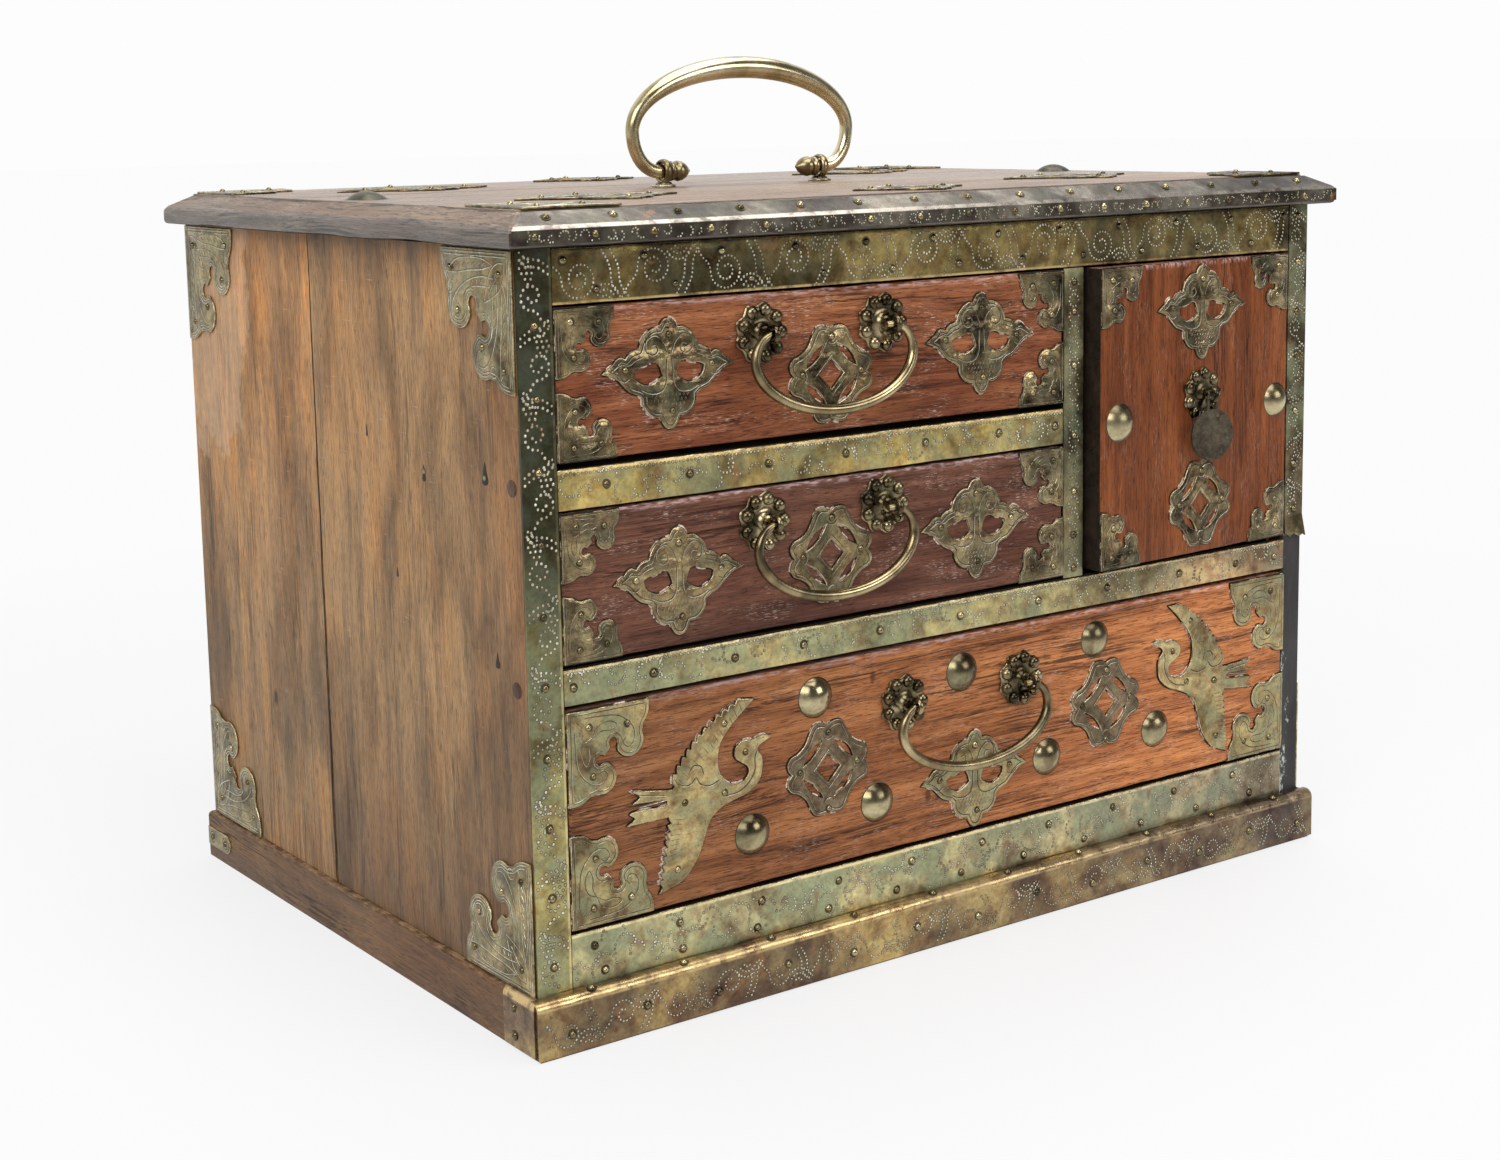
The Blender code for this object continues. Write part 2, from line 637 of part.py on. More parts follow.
def lid():
    """Lid board with a moulded edge and the brass plates nailed to it, and the brass over its front edge."""
    bm = bmesh.new()
    rings = [lid_ring(bm, *level) for level in lid_profile()]
    for low, high in zip(rings, rings[1:]):
        for k in range(4):
            bm.faces.new((low[k], low[(k + 1) % 4], high[(k + 1) % 4], high[k]))
    bm.faces.new(rings[0])
    bm.faces.new(rings[-1])
    top = make("lid_board", bm, edge_wood())
    seam = [(LID_SEAM_Y - 0.6, LID_TOP + 0.5), (LID_SEAM_Y, LID_TOP - 1.2), (LID_SEAM_Y + 0.6, LID_TOP + 0.5)]
    combine(top, [profile_along_x("seam", seam, (-CASE_W, CASE_W), edge_wood())], "DIFFERENCE")
    combine(top, lid_ornaments())
    tidy(top)

    front = Y_FRONT - LID_FRONT
    line = [(front + inset, z) for inset, z, extra in lid_profile()[1:5]]
    half = CASE_W / 2 + LID_SIDE - GAP
    bm = slab_mesh(thicken(line, BRASS), [], (-half, half), lambda u, v, w: (w, u, v))
    for vert in bm.verts:
        mitre = vert.co.y - front
        vert.co.x = math.copysign(half - mitre, vert.co.x)
    make("lid_front_strip", bm, aged_brass())


def strip(name, x, z):
    return board(name, x, (Y_FRONT, Y_FRONT + BRASS), z, aged_brass())


def right_stile_strip():
    """The brass of the right stile, torn across above the lower rail, its torn end bent off the wood."""
    torn = [(191.2, 139.6), (193.6, 141.0), (196.4, 139.4), (198.8, 140.4)]
    right = [(X_RIGHT, TORN_END_Z), (X_RIGHT, TORN_BEND_Z), (X_RIGHT, Z_CASE_TOP)]
    left = [(STILE_R_IN, Z_CASE_TOP), (STILE_R_IN, TORN_BEND_Z), (STILE_R_IN, TORN_END_Z + 2.0)]
    outline = torn + right + left
    bm = slab_mesh(outline, [], (0, BRASS), lambda u, v, w: (u, Y_FRONT + w, v))
    for vert in bm.verts:
        bent = max(0.0, TORN_BEND_Z - vert.co.z) / (TORN_BEND_Z - TORN_END_Z)
        outward = 0.3 + 0.7 * (vert.co.x - STILE_R_IN) / (X_RIGHT - STILE_R_IN)
        vert.co.y -= TORN_BEND * bent ** 2 * outward
    make("right_stile_strip", bm, aged_brass())


def face_strips():
    left, right = STILE_L_IN + GAP, STILE_R_IN - GAP
    strip("left_stile_strip", (X_LEFT, STILE_L_IN), (Z_BOARDS, Z_CASE_TOP))
    right_stile_strip()
    strip("top_rail_strip", (left, right), TOP_RAIL_Z)
    strip("upper_rail_strip", (left, DIVIDER_X[0] - GAP), UPPER_RAIL_Z)
    strip("lower_rail_strip", (left, right), (LOWER_RAIL_Z[0], LOWER_RAIL_Z[1] - GAP))
    strip("bottom_rail_strip", (left, right), BOTTOM_RAIL_Z)
    strip("divider_strip", DIVIDER_X, (LOWER_RAIL_Z[1], TOP_RAIL_Z[0] - GAP))


def side_corner_plates():
    """Four large corner mounts on each side of the case."""
    scale = CORNER_SIDE / 50.0
    outline = corner_outline(3)
    edge = 1.2
    for side, x in (("left", X_LEFT), ("right", X_RIGHT)):
        out = -1 if side == "left" else 1
        for where, y, sy in (("front", Y_FRONT + edge, 1), ("back", Y_BACK - edge, -1)):
            for level, z, sz in (("bottom", PLINTH_H + 0.5, 1), ("top", LID_UNDER - 0.9, -1)):
                def place(u, v, w):
                    return (x + out * w, y + sy * scale * u, z + sz * scale * v)
                bm = slab_mesh(outline, [], (GAP, GAP + BRASS), place)
                make(f"{side}_{level}_{where}_corner", bm, plate_brass())


# Drawers


def bail(drawer, parent):
    """Bail handle: its ends run inward through the eyes, its bow hangs below them and leans out a little."""
    pull = PULLS[drawer]
    shoulder = 9.6
    inner = pull["half"] - 4.2
    outer = pull["wide"]
    half = [(inner, 0.0), (pull["half"] + 0.4, 0.0)]
    turn = arc(outer - shoulder, -shoulder, shoulder, 75, 15, 3)
    half += [(max(x, pull["half"] + 1.2), z) for x, z in turn]
    drop = pull["drop"] - shoulder
    steps = 7
    for i in range(steps + 1):
        a = math.pi / 2 * i / steps
        half.append((outer * math.cos(a), -shoulder - drop * math.sin(a)))
    path = [(-x, z) for x, z in half[:-1]] + [(x, z) for x, z in reversed(half)]
    pivot_y = Y_FRONT - GAP - EYE_PROUD
    points = [(pull["x"] + x, pivot_y - BAIL_BOW * (z / pull["drop"]) ** 2, pull["z"] + z) for x, z in path]
    swell = [min(1.0, max(0.0, -z / 12.0)) for x, z in path]
    radii = [BAIL_END_WIRE + (BAIL_WIRE - BAIL_END_WIRE) * t for t in swell]
    radii[0] = radii[-1] = BAIL_END_WIRE * 0.8
    rod = make(f"{drawer}_bail", tube_mesh(points, radii, 7), bright_brass())
    return settle(smooth(rod, 50), parent)


def drawer_front(drawer):
    """Front board with the corner mounts, butterfly plates, coin plates and domed nails fixed to it."""
    size = DRAWERS[drawer]
    front = board(f"{drawer}_front", size["x"], (Y_FRONT, Y_FRONT + FRONT_T), size["z"], front_wood(), 1.0)
    wide = drawer == "drawer_3"
    parts = front_corners(size["x"], size["z"], CORNER_LARGE if wide else CORNER_SMALL)
    for x, z in BATS[drawer]:
        parts.append(plate(bat_outline(), bat_eyes(), on_front(x, z)))
    for x, z in COINS[drawer]:
        parts.append(plate(coin_outline(), coin_holes(), on_front(x, z)))
    if wide:
        parts += [dome(x, z) for x, z in DOMES]
    combine(front, parts)
    return tidy(front)


def drawer_box(drawer):
    """Sides, back and bottom behind the front board."""
    size = DRAWERS[drawer]
    x = (size["x"][0] + DRAWER_PLAY, size["x"][1] - DRAWER_PLAY)
    y = (Y_FRONT + FRONT_T + GAP, Y_FRONT + FRONT_T + GAP + DRAWER_LENGTH)
    z = (size["floor"] + GAP, size["top"])
    left, right = x[0] + DRAWER_SIDE_T, x[1] - DRAWER_SIDE_T
    between = (left + GAP, right - GAP)
    back_y = y[1] - DRAWER_SIDE_T
    bottom_z = (z[0], z[0] + DRAWER_BOTTOM_T)
    return [
        board(f"{drawer}_left_side", (x[0], left), y, z, inner_wood()),
        board(f"{drawer}_right_side", (right, x[1]), y, z, inner_wood()),
        board(f"{drawer}_back", between, (back_y, y[1]), (z[0], z[1] - DRAWER_BACK_LOWER), inner_wood()),
        board(f"{drawer}_bottom", between, (y[0], back_y - GAP), bottom_z, inner_wood()),
    ]


def drawer_rosettes(drawer):
    pull = PULLS[drawer]
    made = []
    for side, sign in (("left", -1), ("right", 1)):
        x = pull["x"] + sign * pull["half"]
        made.append(rosette(f"{drawer}_{side}_rosette", x, Y_FRONT - GAP, pull["z"]))
    return made


def crane(name, where, turn, mirror):
    bm = slab_mesh(crane_outline(), [], (GAP, GAP + BRASS), on_front(where[0], where[1], turn, mirror))
    return make(name, bm, plate_brass())


def drawer(name):
    pull = PULLS[name]
    slide = joint_empty(f"{name}_slide", 0.0, Y_FRONT, pull["z"])
    pieces = [drawer_front(name), *drawer_box(name), *drawer_rosettes(name)]
    if name == "drawer_3":
        pieces.append(crane("left_crane", CRANE_LEFT, 0.0, 1))
        pieces.append(crane("right_crane", CRANE_RIGHT, CRANE_RIGHT_TURN, -1))
    for piece in pieces:
        settle(piece, slide)
    pivot = joint_empty(f"{name}_bail_pivot", pull["x"], Y_FRONT - GAP - EYE_PROUD, pull["z"])
    bail(name, pivot)
    carry(pivot, slide)


# Door


def door_panel():
    """Panel with its right edge rounded about the pivot pins above and below it, and its brass plates."""
    z_low, z_high = DOOR_Z
    y = (Y_FRONT - DOOR_PROUD, Y_FRONT - DOOR_PROUD + DOOR_T)
    radius = DOOR_X_HIGH - PIVOT_X
    start = math.degrees(math.asin((y[0] - PIVOT_Y) / radius))
    outline = [(DOOR_X_LOW, y[1]), (DOOR_X_LOW, y[0] + 1.2), (DOOR_X_LOW + 1.2, y[0])]
    outline += arc(PIVOT_X, PIVOT_Y, radius, start, 55, 6) + [(PIVOT_X + 2.0, y[1])]
    bm = slab_mesh(outline, [], (z_low, z_high), lambda u, v, w: (u, v, w))
    panel = make("door_panel", bm, front_wood())
    low, high = z_low - PIN_REACH, z_high + PIN_REACH
    pin = [(0, low), (PIN_R, low), (PIN_R, high), (0, high)]
    parts = [make("pin", turned_mesh(pin, 8, Matrix.Translation((PIVOT_X, PIVOT_Y, 0))), aged_brass())]
    parts += front_corners((DOOR_X_LOW, DOOR_FLAT_HIGH), DOOR_Z, CORNER_SMALL)
    parts.append(plate(bat_outline(), bat_eyes(), on_front(DOOR_MID_X, DOOR_BAT_Z)))
    parts.append(plate(coin_outline(), coin_holes(), on_front(DOOR_MID_X, DOOR_COIN_Z)))
    parts += [dome(x, z, DOOR_DOME_SIZE) for x, z in DOOR_DOMES]
    for part in parts[1:]:
        part.data.transform(Matrix.Translation((0, -DOOR_PROUD * MM, 0)))
    combine(panel, parts)
    return tidy(panel)


def disc_pendant(x, y, z):
    """Round pull: a plain disc hung from a staple that runs through the rosette's eye."""
    face = facing_front(x, y + DISC_T / 2, z - DISC_DROP)
    rim = DISC_R - 0.4
    edge = [(0, 0), (rim, 0), (DISC_R, 0.4), (DISC_R, DISC_T - 0.4), (rim, DISC_T), (0, DISC_T)]
    disc = make("disc_pendant", turned_mesh(edge, 20, face), plate_brass())
    arm = EYE_WIRE * 1.5 + 2 * STAPLE_WIRE
    half = [(arm, z - DISC_DROP + DISC_R - 1.6), (arm, z - 0.7), (arm - 0.7, z)]
    path = [(x - u, y, w) for u, w in half] + [(x + u, y, w) for u, w in reversed(half)]
    staple = tube_mesh(path, [STAPLE_WIRE] * len(path), 6, normal=(0, 1, 0))
    combine(disc, [make("staple", staple, plate_brass())])
    return smooth(tidy(disc))


def door():
    hinge = joint_empty("door_hinge", PIVOT_X, PIVOT_Y, DOOR_Z[0])
    flower_y = Y_FRONT - DOOR_PROUD - GAP
    settle(door_panel(), hinge)
    settle(rosette("door_rosette", DOOR_MID_X, flower_y, DOOR_ROSETTE_Z, DISC_EYE_PROUD), hinge)
    eye_y = flower_y - DISC_EYE_PROUD
    pivot = joint_empty("disc_pivot", DOOR_MID_X, eye_y, DOOR_ROSETTE_Z)
    settle(disc_pendant(DOOR_MID_X, eye_y, DOOR_ROSETTE_Z), pivot)
    carry(pivot, hinge)
    hinge.rotation_euler.z = math.radians(DOOR_AJAR)


# Carry handle


def handle_posts():
    """Two ring-eye posts that stand on the lid."""
    for side, sign in (("left", -1), ("right", 1)):
        x = sign * HANDLE_POST_X
        ring = [(x, y, z) for y, z in arc(HANDLE_Y, HANDLE_EYE_Z, HANDLE_RING_R, 0, 337.5, 15)]
        bm = tube_mesh(ring, [HANDLE_RING_WIRE] * 16, 6, flat=2.0, normal=(1, 0, 0), closed=True)
        post = make(f"handle_post_{side}", bm, bright_brass())
        low = LID_TOP + PLATE_PROUD + GAP
        foot = [(0, low), (3.6, low), (3.4, low + 0.9), (0, low + 0.9)]
        where = Matrix.Translation((x, HANDLE_Y, 0))
        combine(post, [make("foot", turned_mesh(foot, 10, where), bright_brass())])
        smooth(tidy(post))


def handle_path():
    """Right half of the handle's middle line with rod radii, from the end inside the post to the crown."""
    inner_x = HANDLE_POST_X - 4.5
    half = [(inner_x, HANDLE_EYE_Z, HANDLE_ROD_SIDE), (HANDLE_POST_X + 1.5, HANDLE_EYE_Z, HANDLE_ROD_SIDE)]
    drop = HANDLE_WIDE_Z - HANDLE_EYE_Z
    reach = HANDLE_HALF_W - HANDLE_POST_X - 2.5
    for i in range(1, 5):
        a = math.pi / 2 * i / 5
        x = HANDLE_POST_X + 2.5 + reach * math.sin(a)
        half.append((x, HANDLE_WIDE_Z - drop * math.cos(a), HANDLE_ROD_SIDE))
    rise = HANDLE_CROWN_Z - HANDLE_WIDE_Z
    steps = 8
    for i in range(steps + 1):
        a = math.pi / 2 * i / steps
        swell = math.sin(a) ** 1.5
        rod = HANDLE_ROD_SIDE + (HANDLE_ROD_CROWN - HANDLE_ROD_SIDE) * swell
        half.append((HANDLE_HALF_W * math.cos(a), HANDLE_WIDE_Z + rise * math.sin(a), rod))
    return half


def carry_handle():
    """Bail of the lid: thick at the crown, thinner down its sides, each end an acorn inside its post."""
    pivot = joint_empty("carry_handle_pivot", 0.0, HANDLE_Y, HANDLE_EYE_Z)
    half = handle_path()
    path = [(-x, z, r) for x, z, r in half[:-1]] + [(x, z, r) for x, z, r in reversed(half)]
    rod = tube_mesh([(x, HANDLE_Y, z) for x, z, r in path], [r for x, z, r in path], 8)
    handle = make("carry_handle", rod, bright_brass())
    acorn = [(0, -1.0), (3.0, -1.0), (4.2, 0.4), (4.0, 1.6), (3.2, 2.2), (4.4, 3.6), (3.9, 6.6), (0, 10.4)]
    ends = []
    for sign in (-1, 1):
        where = Matrix.Translation((sign * (HANDLE_POST_X - 3.0), HANDLE_Y, HANDLE_EYE_Z))
        turn = Matrix.Rotation(math.radians(-90 * sign), 4, "Y")
        ends.append(make("acorn", turned_mesh(acorn, 8, where @ turn), bright_brass()))
    combine(handle, ends)
    settle(smooth(tidy(handle), 40), pivot)


def main():
    for obj in list(bpy.data.objects):
        bpy.data.objects.remove(obj)
    plinth()
    left_side()
    right_side()
    case_boards()
    lid()
    face_strips()
    side_corner_plates()
    for name in DRAWERS:
        drawer(name)
    door()
    handle_posts()
    carry_handle()


main()
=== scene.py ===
"""Looks of the jewelry chest: wood, brass plates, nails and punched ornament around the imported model.

Lengths are written in millimetres and turned to metres when a mesh is made. X runs along the front, -Y
faces the viewer, Z is up.
"""

import math
import random

import bmesh
import bpy
from mathutils import Matrix, Vector, noise

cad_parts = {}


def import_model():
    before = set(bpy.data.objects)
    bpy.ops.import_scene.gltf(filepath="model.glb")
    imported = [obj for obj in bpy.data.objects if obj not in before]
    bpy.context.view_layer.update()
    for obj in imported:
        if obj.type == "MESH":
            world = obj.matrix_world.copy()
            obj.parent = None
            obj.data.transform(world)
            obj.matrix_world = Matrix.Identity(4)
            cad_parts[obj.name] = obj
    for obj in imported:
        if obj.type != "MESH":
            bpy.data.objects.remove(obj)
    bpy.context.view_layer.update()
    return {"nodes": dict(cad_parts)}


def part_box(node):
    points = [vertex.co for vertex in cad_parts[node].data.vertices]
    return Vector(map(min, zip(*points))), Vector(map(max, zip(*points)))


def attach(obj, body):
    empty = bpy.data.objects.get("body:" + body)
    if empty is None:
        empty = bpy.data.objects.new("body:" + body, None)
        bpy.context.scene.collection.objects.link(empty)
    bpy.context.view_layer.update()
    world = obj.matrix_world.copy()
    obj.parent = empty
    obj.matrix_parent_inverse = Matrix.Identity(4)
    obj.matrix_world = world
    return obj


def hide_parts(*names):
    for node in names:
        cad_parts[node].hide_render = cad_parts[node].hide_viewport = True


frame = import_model()
MM = 0.001
GAP = 0.3
SIDE_X, Y_FRONT, BACK_Y = 200, -143, 143
DOOR_Y, PLINTH_Y = -143.8, -148.7
LID_X, LID_Y_LOW, LID_Y_HIGH, LID_TOP = 207.1, -153.2, 149.4, 300
PIVOT_X, PIVOT_Y = 180.6, -140
PLATE_T = 0.9


# Materials


class Out:
    """An output of a node; plus, minus, times and most make further nodes of it."""

    def __init__(self, owner, socket):
        self.owner, self.socket = owner, socket

    def combine(self, operation, *inputs):
        kind = "ShaderNodeVectorMath" if self.socket.type == "VECTOR" else "ShaderNodeMath"
        return self.owner.node(kind, inputs, operation=operation)

    def __add__(self, other):
        return self.combine("ADD", self, other)

    def __sub__(self, other):
        return self.combine("SUBTRACT", self, other)

    def __rsub__(self, other):
        return self.combine("SUBTRACT", other, self)

    def __mul__(self, other):
        return self.combine("MULTIPLY", self, other)

    def most(self, *others):
        value = self
        for other in others:
            value = self.combine("MAXIMUM", value, other)
        return value


class Nodes:
    """Nodes of a material or of the world, written as short calls; at holds the coordinates."""

    def __init__(self, owner, coordinates="Object", scale=1 / MM):
        owner.use_nodes = True
        self.tree = owner.node_tree
        place = self.node("ShaderNodeTexCoord", out=coordinates)
        self.at = self.node("ShaderNodeVectorMath", {0: place, "Scale": scale}, operation="SCALE")

    def node(self, kind, inputs=(), out=0, **settings):
        """A new node; its inputs come in order or by their places and names."""
        node = self.tree.nodes.new(kind)
        for name, setting in settings.items():
            setattr(node, name, setting)
        for place, value in inputs.items() if isinstance(inputs, dict) else enumerate(inputs):
            self.plug(value, node.inputs[place])
        return Out(self, node.outputs[out])

    def plug(self, value, socket):
        if isinstance(value, Out):
            self.tree.links.new(value.socket, socket)
        elif socket.type == "RGBA":
            socket.default_value = (*value, 1)
        elif socket.type == "VECTOR" and not isinstance(value, tuple):
            socket.default_value = (value, value, value)
        else:
            socket.default_value = value

    def axis(self, name, of=None):
        return self.node("ShaderNodeSeparateXYZ", (of or self.at,), name)

    def span(self, value, low, high, to_low=0, to_high=1):
        return self.node("ShaderNodeMapRange", (value, low, high, to_low, to_high))

    def by(self, axis, *limits):
        """A value that runs between limits along an axis."""
        return self.span(self.axis(axis), *limits)

    def far(self, centre, stretch=(1, 1, 1)):
        away = (self.at - centre) * stretch
        return self.node("ShaderNodeVectorMath", (away,), "Value", operation="LENGTH")

    def noise(self, stretch, place=(0, 0, 0), detail=3, rough=0.55, twist=0, at=None):
        inputs = {"Vector": (at or self.at) * stretch + place, "Scale": 1, "Detail": detail,
                  "Roughness": rough, "Distortion": twist}
        return self.node("ShaderNodeTexNoise", inputs)

    def ramp(self, value, *stops):
        """A colour by value; a stop is a place with a colour or the number of a grey."""
        color = self.node("ShaderNodeValToRGB", (value,))
        marks = color.socket.node.color_ramp.elements
        while len(marks) < len(stops):
            marks.new(0.5)
        for mark, (place, tone) in zip(marks, stops):
            mark.position = place
            mark.color = (*tone, 1) if isinstance(tone, tuple) else (tone, tone, tone, 1)
        return color

    def backdrop(self, kind, color, strength, share, shader, output):
        """Shows camera, glossy and transmission rays a plain light in place of a shader, by a share."""
        camera, glossy, through = (self.node("ShaderNodeLightPath", out=f"Is {name} Ray")
                                   for name in ("Camera", "Glossy", "Transmission"))
        light = self.node(kind, {"Color": color, "Strength": camera.most(*strength)})
        seen = camera.most(glossy, through) * share
        mixed = self.node("ShaderNodeMixShader", (seen, Out(self, shader.outputs[0]), light))
        self.plug(mixed, self.tree.nodes[output].inputs[0])


class Mat(Nodes):
    """A Principled material; tone is its colour so far, and the coordinates are the rest place in mm."""

    def __init__(self, name):
        self.mat = bpy.data.materials.new(name)
        super().__init__(self.mat)
        self.shader = self.tree.nodes["Principled BSDF"]

    def mix(self, amount, color, mode="MIX"):
        """Lays a colour over the tone, by an amount."""
        inputs = {0: amount, 6: self.tone, 7: color}
        self.tone = self.node("ShaderNodeMix", inputs, 2, data_type="RGBA", blend_type=mode)

    def tint(self, amount, factor):
        """Multiplies the tone by a factor, by an amount."""
        self.mix(amount, factor, "MULTIPLY")

    def fade(self, axis, start, end, factor):
        self.tint(self.by(axis, start, end), factor)

    def bump(self, height, strength, distance):
        inputs = {"Height": height, "Strength": strength, "Distance": distance * MM}
        return self.node("ShaderNodeBump", inputs)

    def set(self, inputs):
        for name, value in inputs.items():
            self.plug(value, self.shader.inputs[name])
        return self


def along(axis, across, length):
    """Stretch of a noise: 1/across over the grain and 1/length along it."""
    return tuple(1 / length if name == axis else 1 / across for name in "XYZ")


def darker(color, factor):
    return tuple(c * factor for c in color)


def wood(name, grain, dark, mid, light, shift=0, pale=0, rough=0.4, stain=0.55, gloss=0.16, spread=0.18,
         wrap=False, top=None, wear_and_glint=(0.72, 0.52, 0.52), streaks=0.53, knots=(), fade=None):
    """Hardwood: figure, dark late-wood lines in groups, pores, pale polish in pores, and under a top edge
    pale wear with a painted highlight.
    """
    m = Mat(name)
    if wrap:
        round_corners = m.axis("X") + m.axis("Y")
        m.at = m.node("ShaderNodeCombineXYZ", {"X": round_corners, "Z": m.axis("Z")})
    move = (shift, shift * 0.7, shift * 1.3)

    def grained(across, length, *shape, at=None):
        return m.noise(along(grain, across, length), *shape, at=at)
    bent = m.at + m.span(grained(30, 130, move, 2, 0.5), 0, 1, -8, 8)
    figure = grained(5.5, 150, move, 4, 0.62, 0.15, at=bent)
    fibre = grained(0.5, 45, move, 4, 0.68, at=bent)
    both = figure * 0.55 + fibre * 0.45
    m.tone = m.ramp(both, (0.5 - spread, dark), (0.5, mid), (0.5 + spread * 1.1, light))
    lines = grained(0.8, 90, (shift + 11, 5, shift), 3, 0.65, 0.1, at=bent)
    group = grained(9, 90, (shift, 2, 17), 3, 0.55, 0.3, at=bent)
    streak = m.span(lines, 0.47, 0.58) * m.span(group, streaks, streaks + 0.1)
    m.mix(streak * 0.85, darker(dark, 0.6))
    cloud = grained(26, 80, (shift, 9, 4), 3, 0.6)
    m.tint(m.span(cloud, 0.46, 0.66, 0, stain), (0.5, 0.36, 0.34))
    pore = m.span(grained(0.32, 5.5, move, 2, 0.6), 0.57, 0.63)
    m.mix(pore * 0.65, darker(dark, 0.3))
    if pale:
        dash = m.span(grained(0.22, 3.4, (shift + 40, 3, 8), 2, 0.6), 0.58, 0.63)
        patch = m.span(grained(8, 22, (2, shift, 5), 4), 0.51, 0.6)
        m.mix(dash * patch * pale, (0.76, 0.6, 0.5))
    # Under the top edge: pale wear with a painted highlight where the rounded arris catches the light.
    if top:
        glint = m.span(grained(1.2, 6, (3, shift, 1), 3, 0.6), 0.46, 0.6)
        rim = m.by("Z", top - 2.6, top - 0.4, 0, 0.55)
        if not wrap:
            rim = rim * m.by("Y", -136, -141)
        m.mix(glint * rim, wear_and_glint)
    for centre, size in knots:
        m.mix(m.span(m.far(centre, (1, 0.1, 0.5)), size, size * 0.4, 0, 0.8), dark)
    if fade:
        m.fade(*fade)
    relief = fibre * 0.5 - (pore + streak * 0.3)
    return m.set({"Base Color": m.tone, "Roughness": m.span(figure, 0.3, 0.7, rough - 0.08, rough + 0.1),
                  "Specular IOR Level": gloss, "Normal": m.bump(relief, 0.5, 0.2)})


def side_board(name, shift, knots=(), glare=None, bare=None, low=0.75, warm=0.7, high=1):
    """Brown softwood, grain upright: smoky stains, orange patches, scratches, scuffs, knots, bare corner;
    painted shade under the lid and, where given, a painted glare.
    """
    m = wood(name, "Z", (0.2, 0.12, 0.058), (0.375, 0.228, 0.107), (0.5, 0.31, 0.15), shift, rough=0.45,
             stain=0, gloss=0.2, spread=0.16)
    smoke = m.noise(along("Z", 30, 85), (shift, 2, 7), 5, 0.6, 0.25)
    m.tint(m.span(smoke, 0.45, 0.65, 0, 0.85), (0.37, 0.37, 0.38))
    glow = m.noise(along("Z", 17, 70), (shift + 5, 1, 3), 4, 0.6, 0.2)
    m.tint(m.span(glow, 0.46, 0.68, 0, warm), (1.3, 1.08, 0.8))
    dash = m.noise(along("Z", 0.7, 14), (shift, 6, 1), 2, 0.6, 0.3)
    m.tint(m.span(dash, 0.62, 0.7, 0, 0.7), (0.35, 0.33, 0.35))
    slant = m.at - m.node("ShaderNodeCombineXYZ", {"Y": m.axis("Z") * 0.24})
    scratch = m.noise(along("Z", 0.5, 48), (shift, 3, 5), 2, 0.5, at=slant)
    m.tint(m.span(scratch, 0.59, 0.66, 0, 0.8), (1.55, 1.42, 1.2))
    scuff = m.noise((1 / 9, 1 / 9, 1 / 7), (shift, 4, 2), 4, 0.7, 0.3)
    line = m.noise(along("Y", 0.8, 26), (shift, 1, 9), 2, 0.6, 1.2)
    m.mix(m.span(scuff, 0.56, 0.66) * m.span(line, 0.6, 0.66) * 0.3, (0.62, 0.5, 0.38))
    m.tint(m.by("Z", 120, 25, 0, low), (0.5, 0.47, 0.5))
    m.tint(m.by("Z", 110, 250), (high, 0.5 + 0.5 * high, 1))
    m.tint(m.by("Y", -90, -138, 0, 0.6), (0.58, 0.48, 0.44))
    # Painted shade under the lid's overhang: the boards darken towards the top.
    m.tint(m.by("Z", 266, 286, 0, 0.8), (0.45, 0.43, 0.43))
    for centre, size in knots:
        m.mix(m.span(m.far(centre, (0.1, 1, 0.6)), size, size * 0.4) * 0.85, (0.05, 0.028, 0.016))
        m.tint(m.span(m.far(centre, (0.1, 1, 0.25)), size * 3.2, size) * 0.5, (0.5, 0.42, 0.38))
    if glare:
        ragged = m.noise((1 / 30, 1 / 12, 1 / 12), rough=0.6)
        reach = m.far(glare, (0.1, 1, 0.55)) + m.span(ragged, 0.3, 0.7, -7, 7)
        m.mix(m.span(reach, 44, 41, 0, 0.26), (0.7, 0.53, 0.38))
    if bare:
        edge = m.by("Y", -141.2, -141.7) * m.by("Z", bare + 1, bare)
        m.mix(edge, m.ramp(smoke, (0.4, (0.022, 0.02, 0.02)), (0.6, (0.055, 0.052, 0.05))))
        crumbs = m.noise((0.3, 0.3, 0.16), detail=5, rough=0.75) - m.by("X", 189, 196, 0, 0.16)
        crust = edge * m.span(crumbs - m.by("Z", 70, 120, 0, 0.12), 0.5, 0.56)
        m.mix(crust * 0.85, m.ramp(smoke, (0.4, (0.3, 0.4, 0.33)), (0.6, (0.6, 0.62, 0.58))))
    return m.set({"Base Color": m.tone})


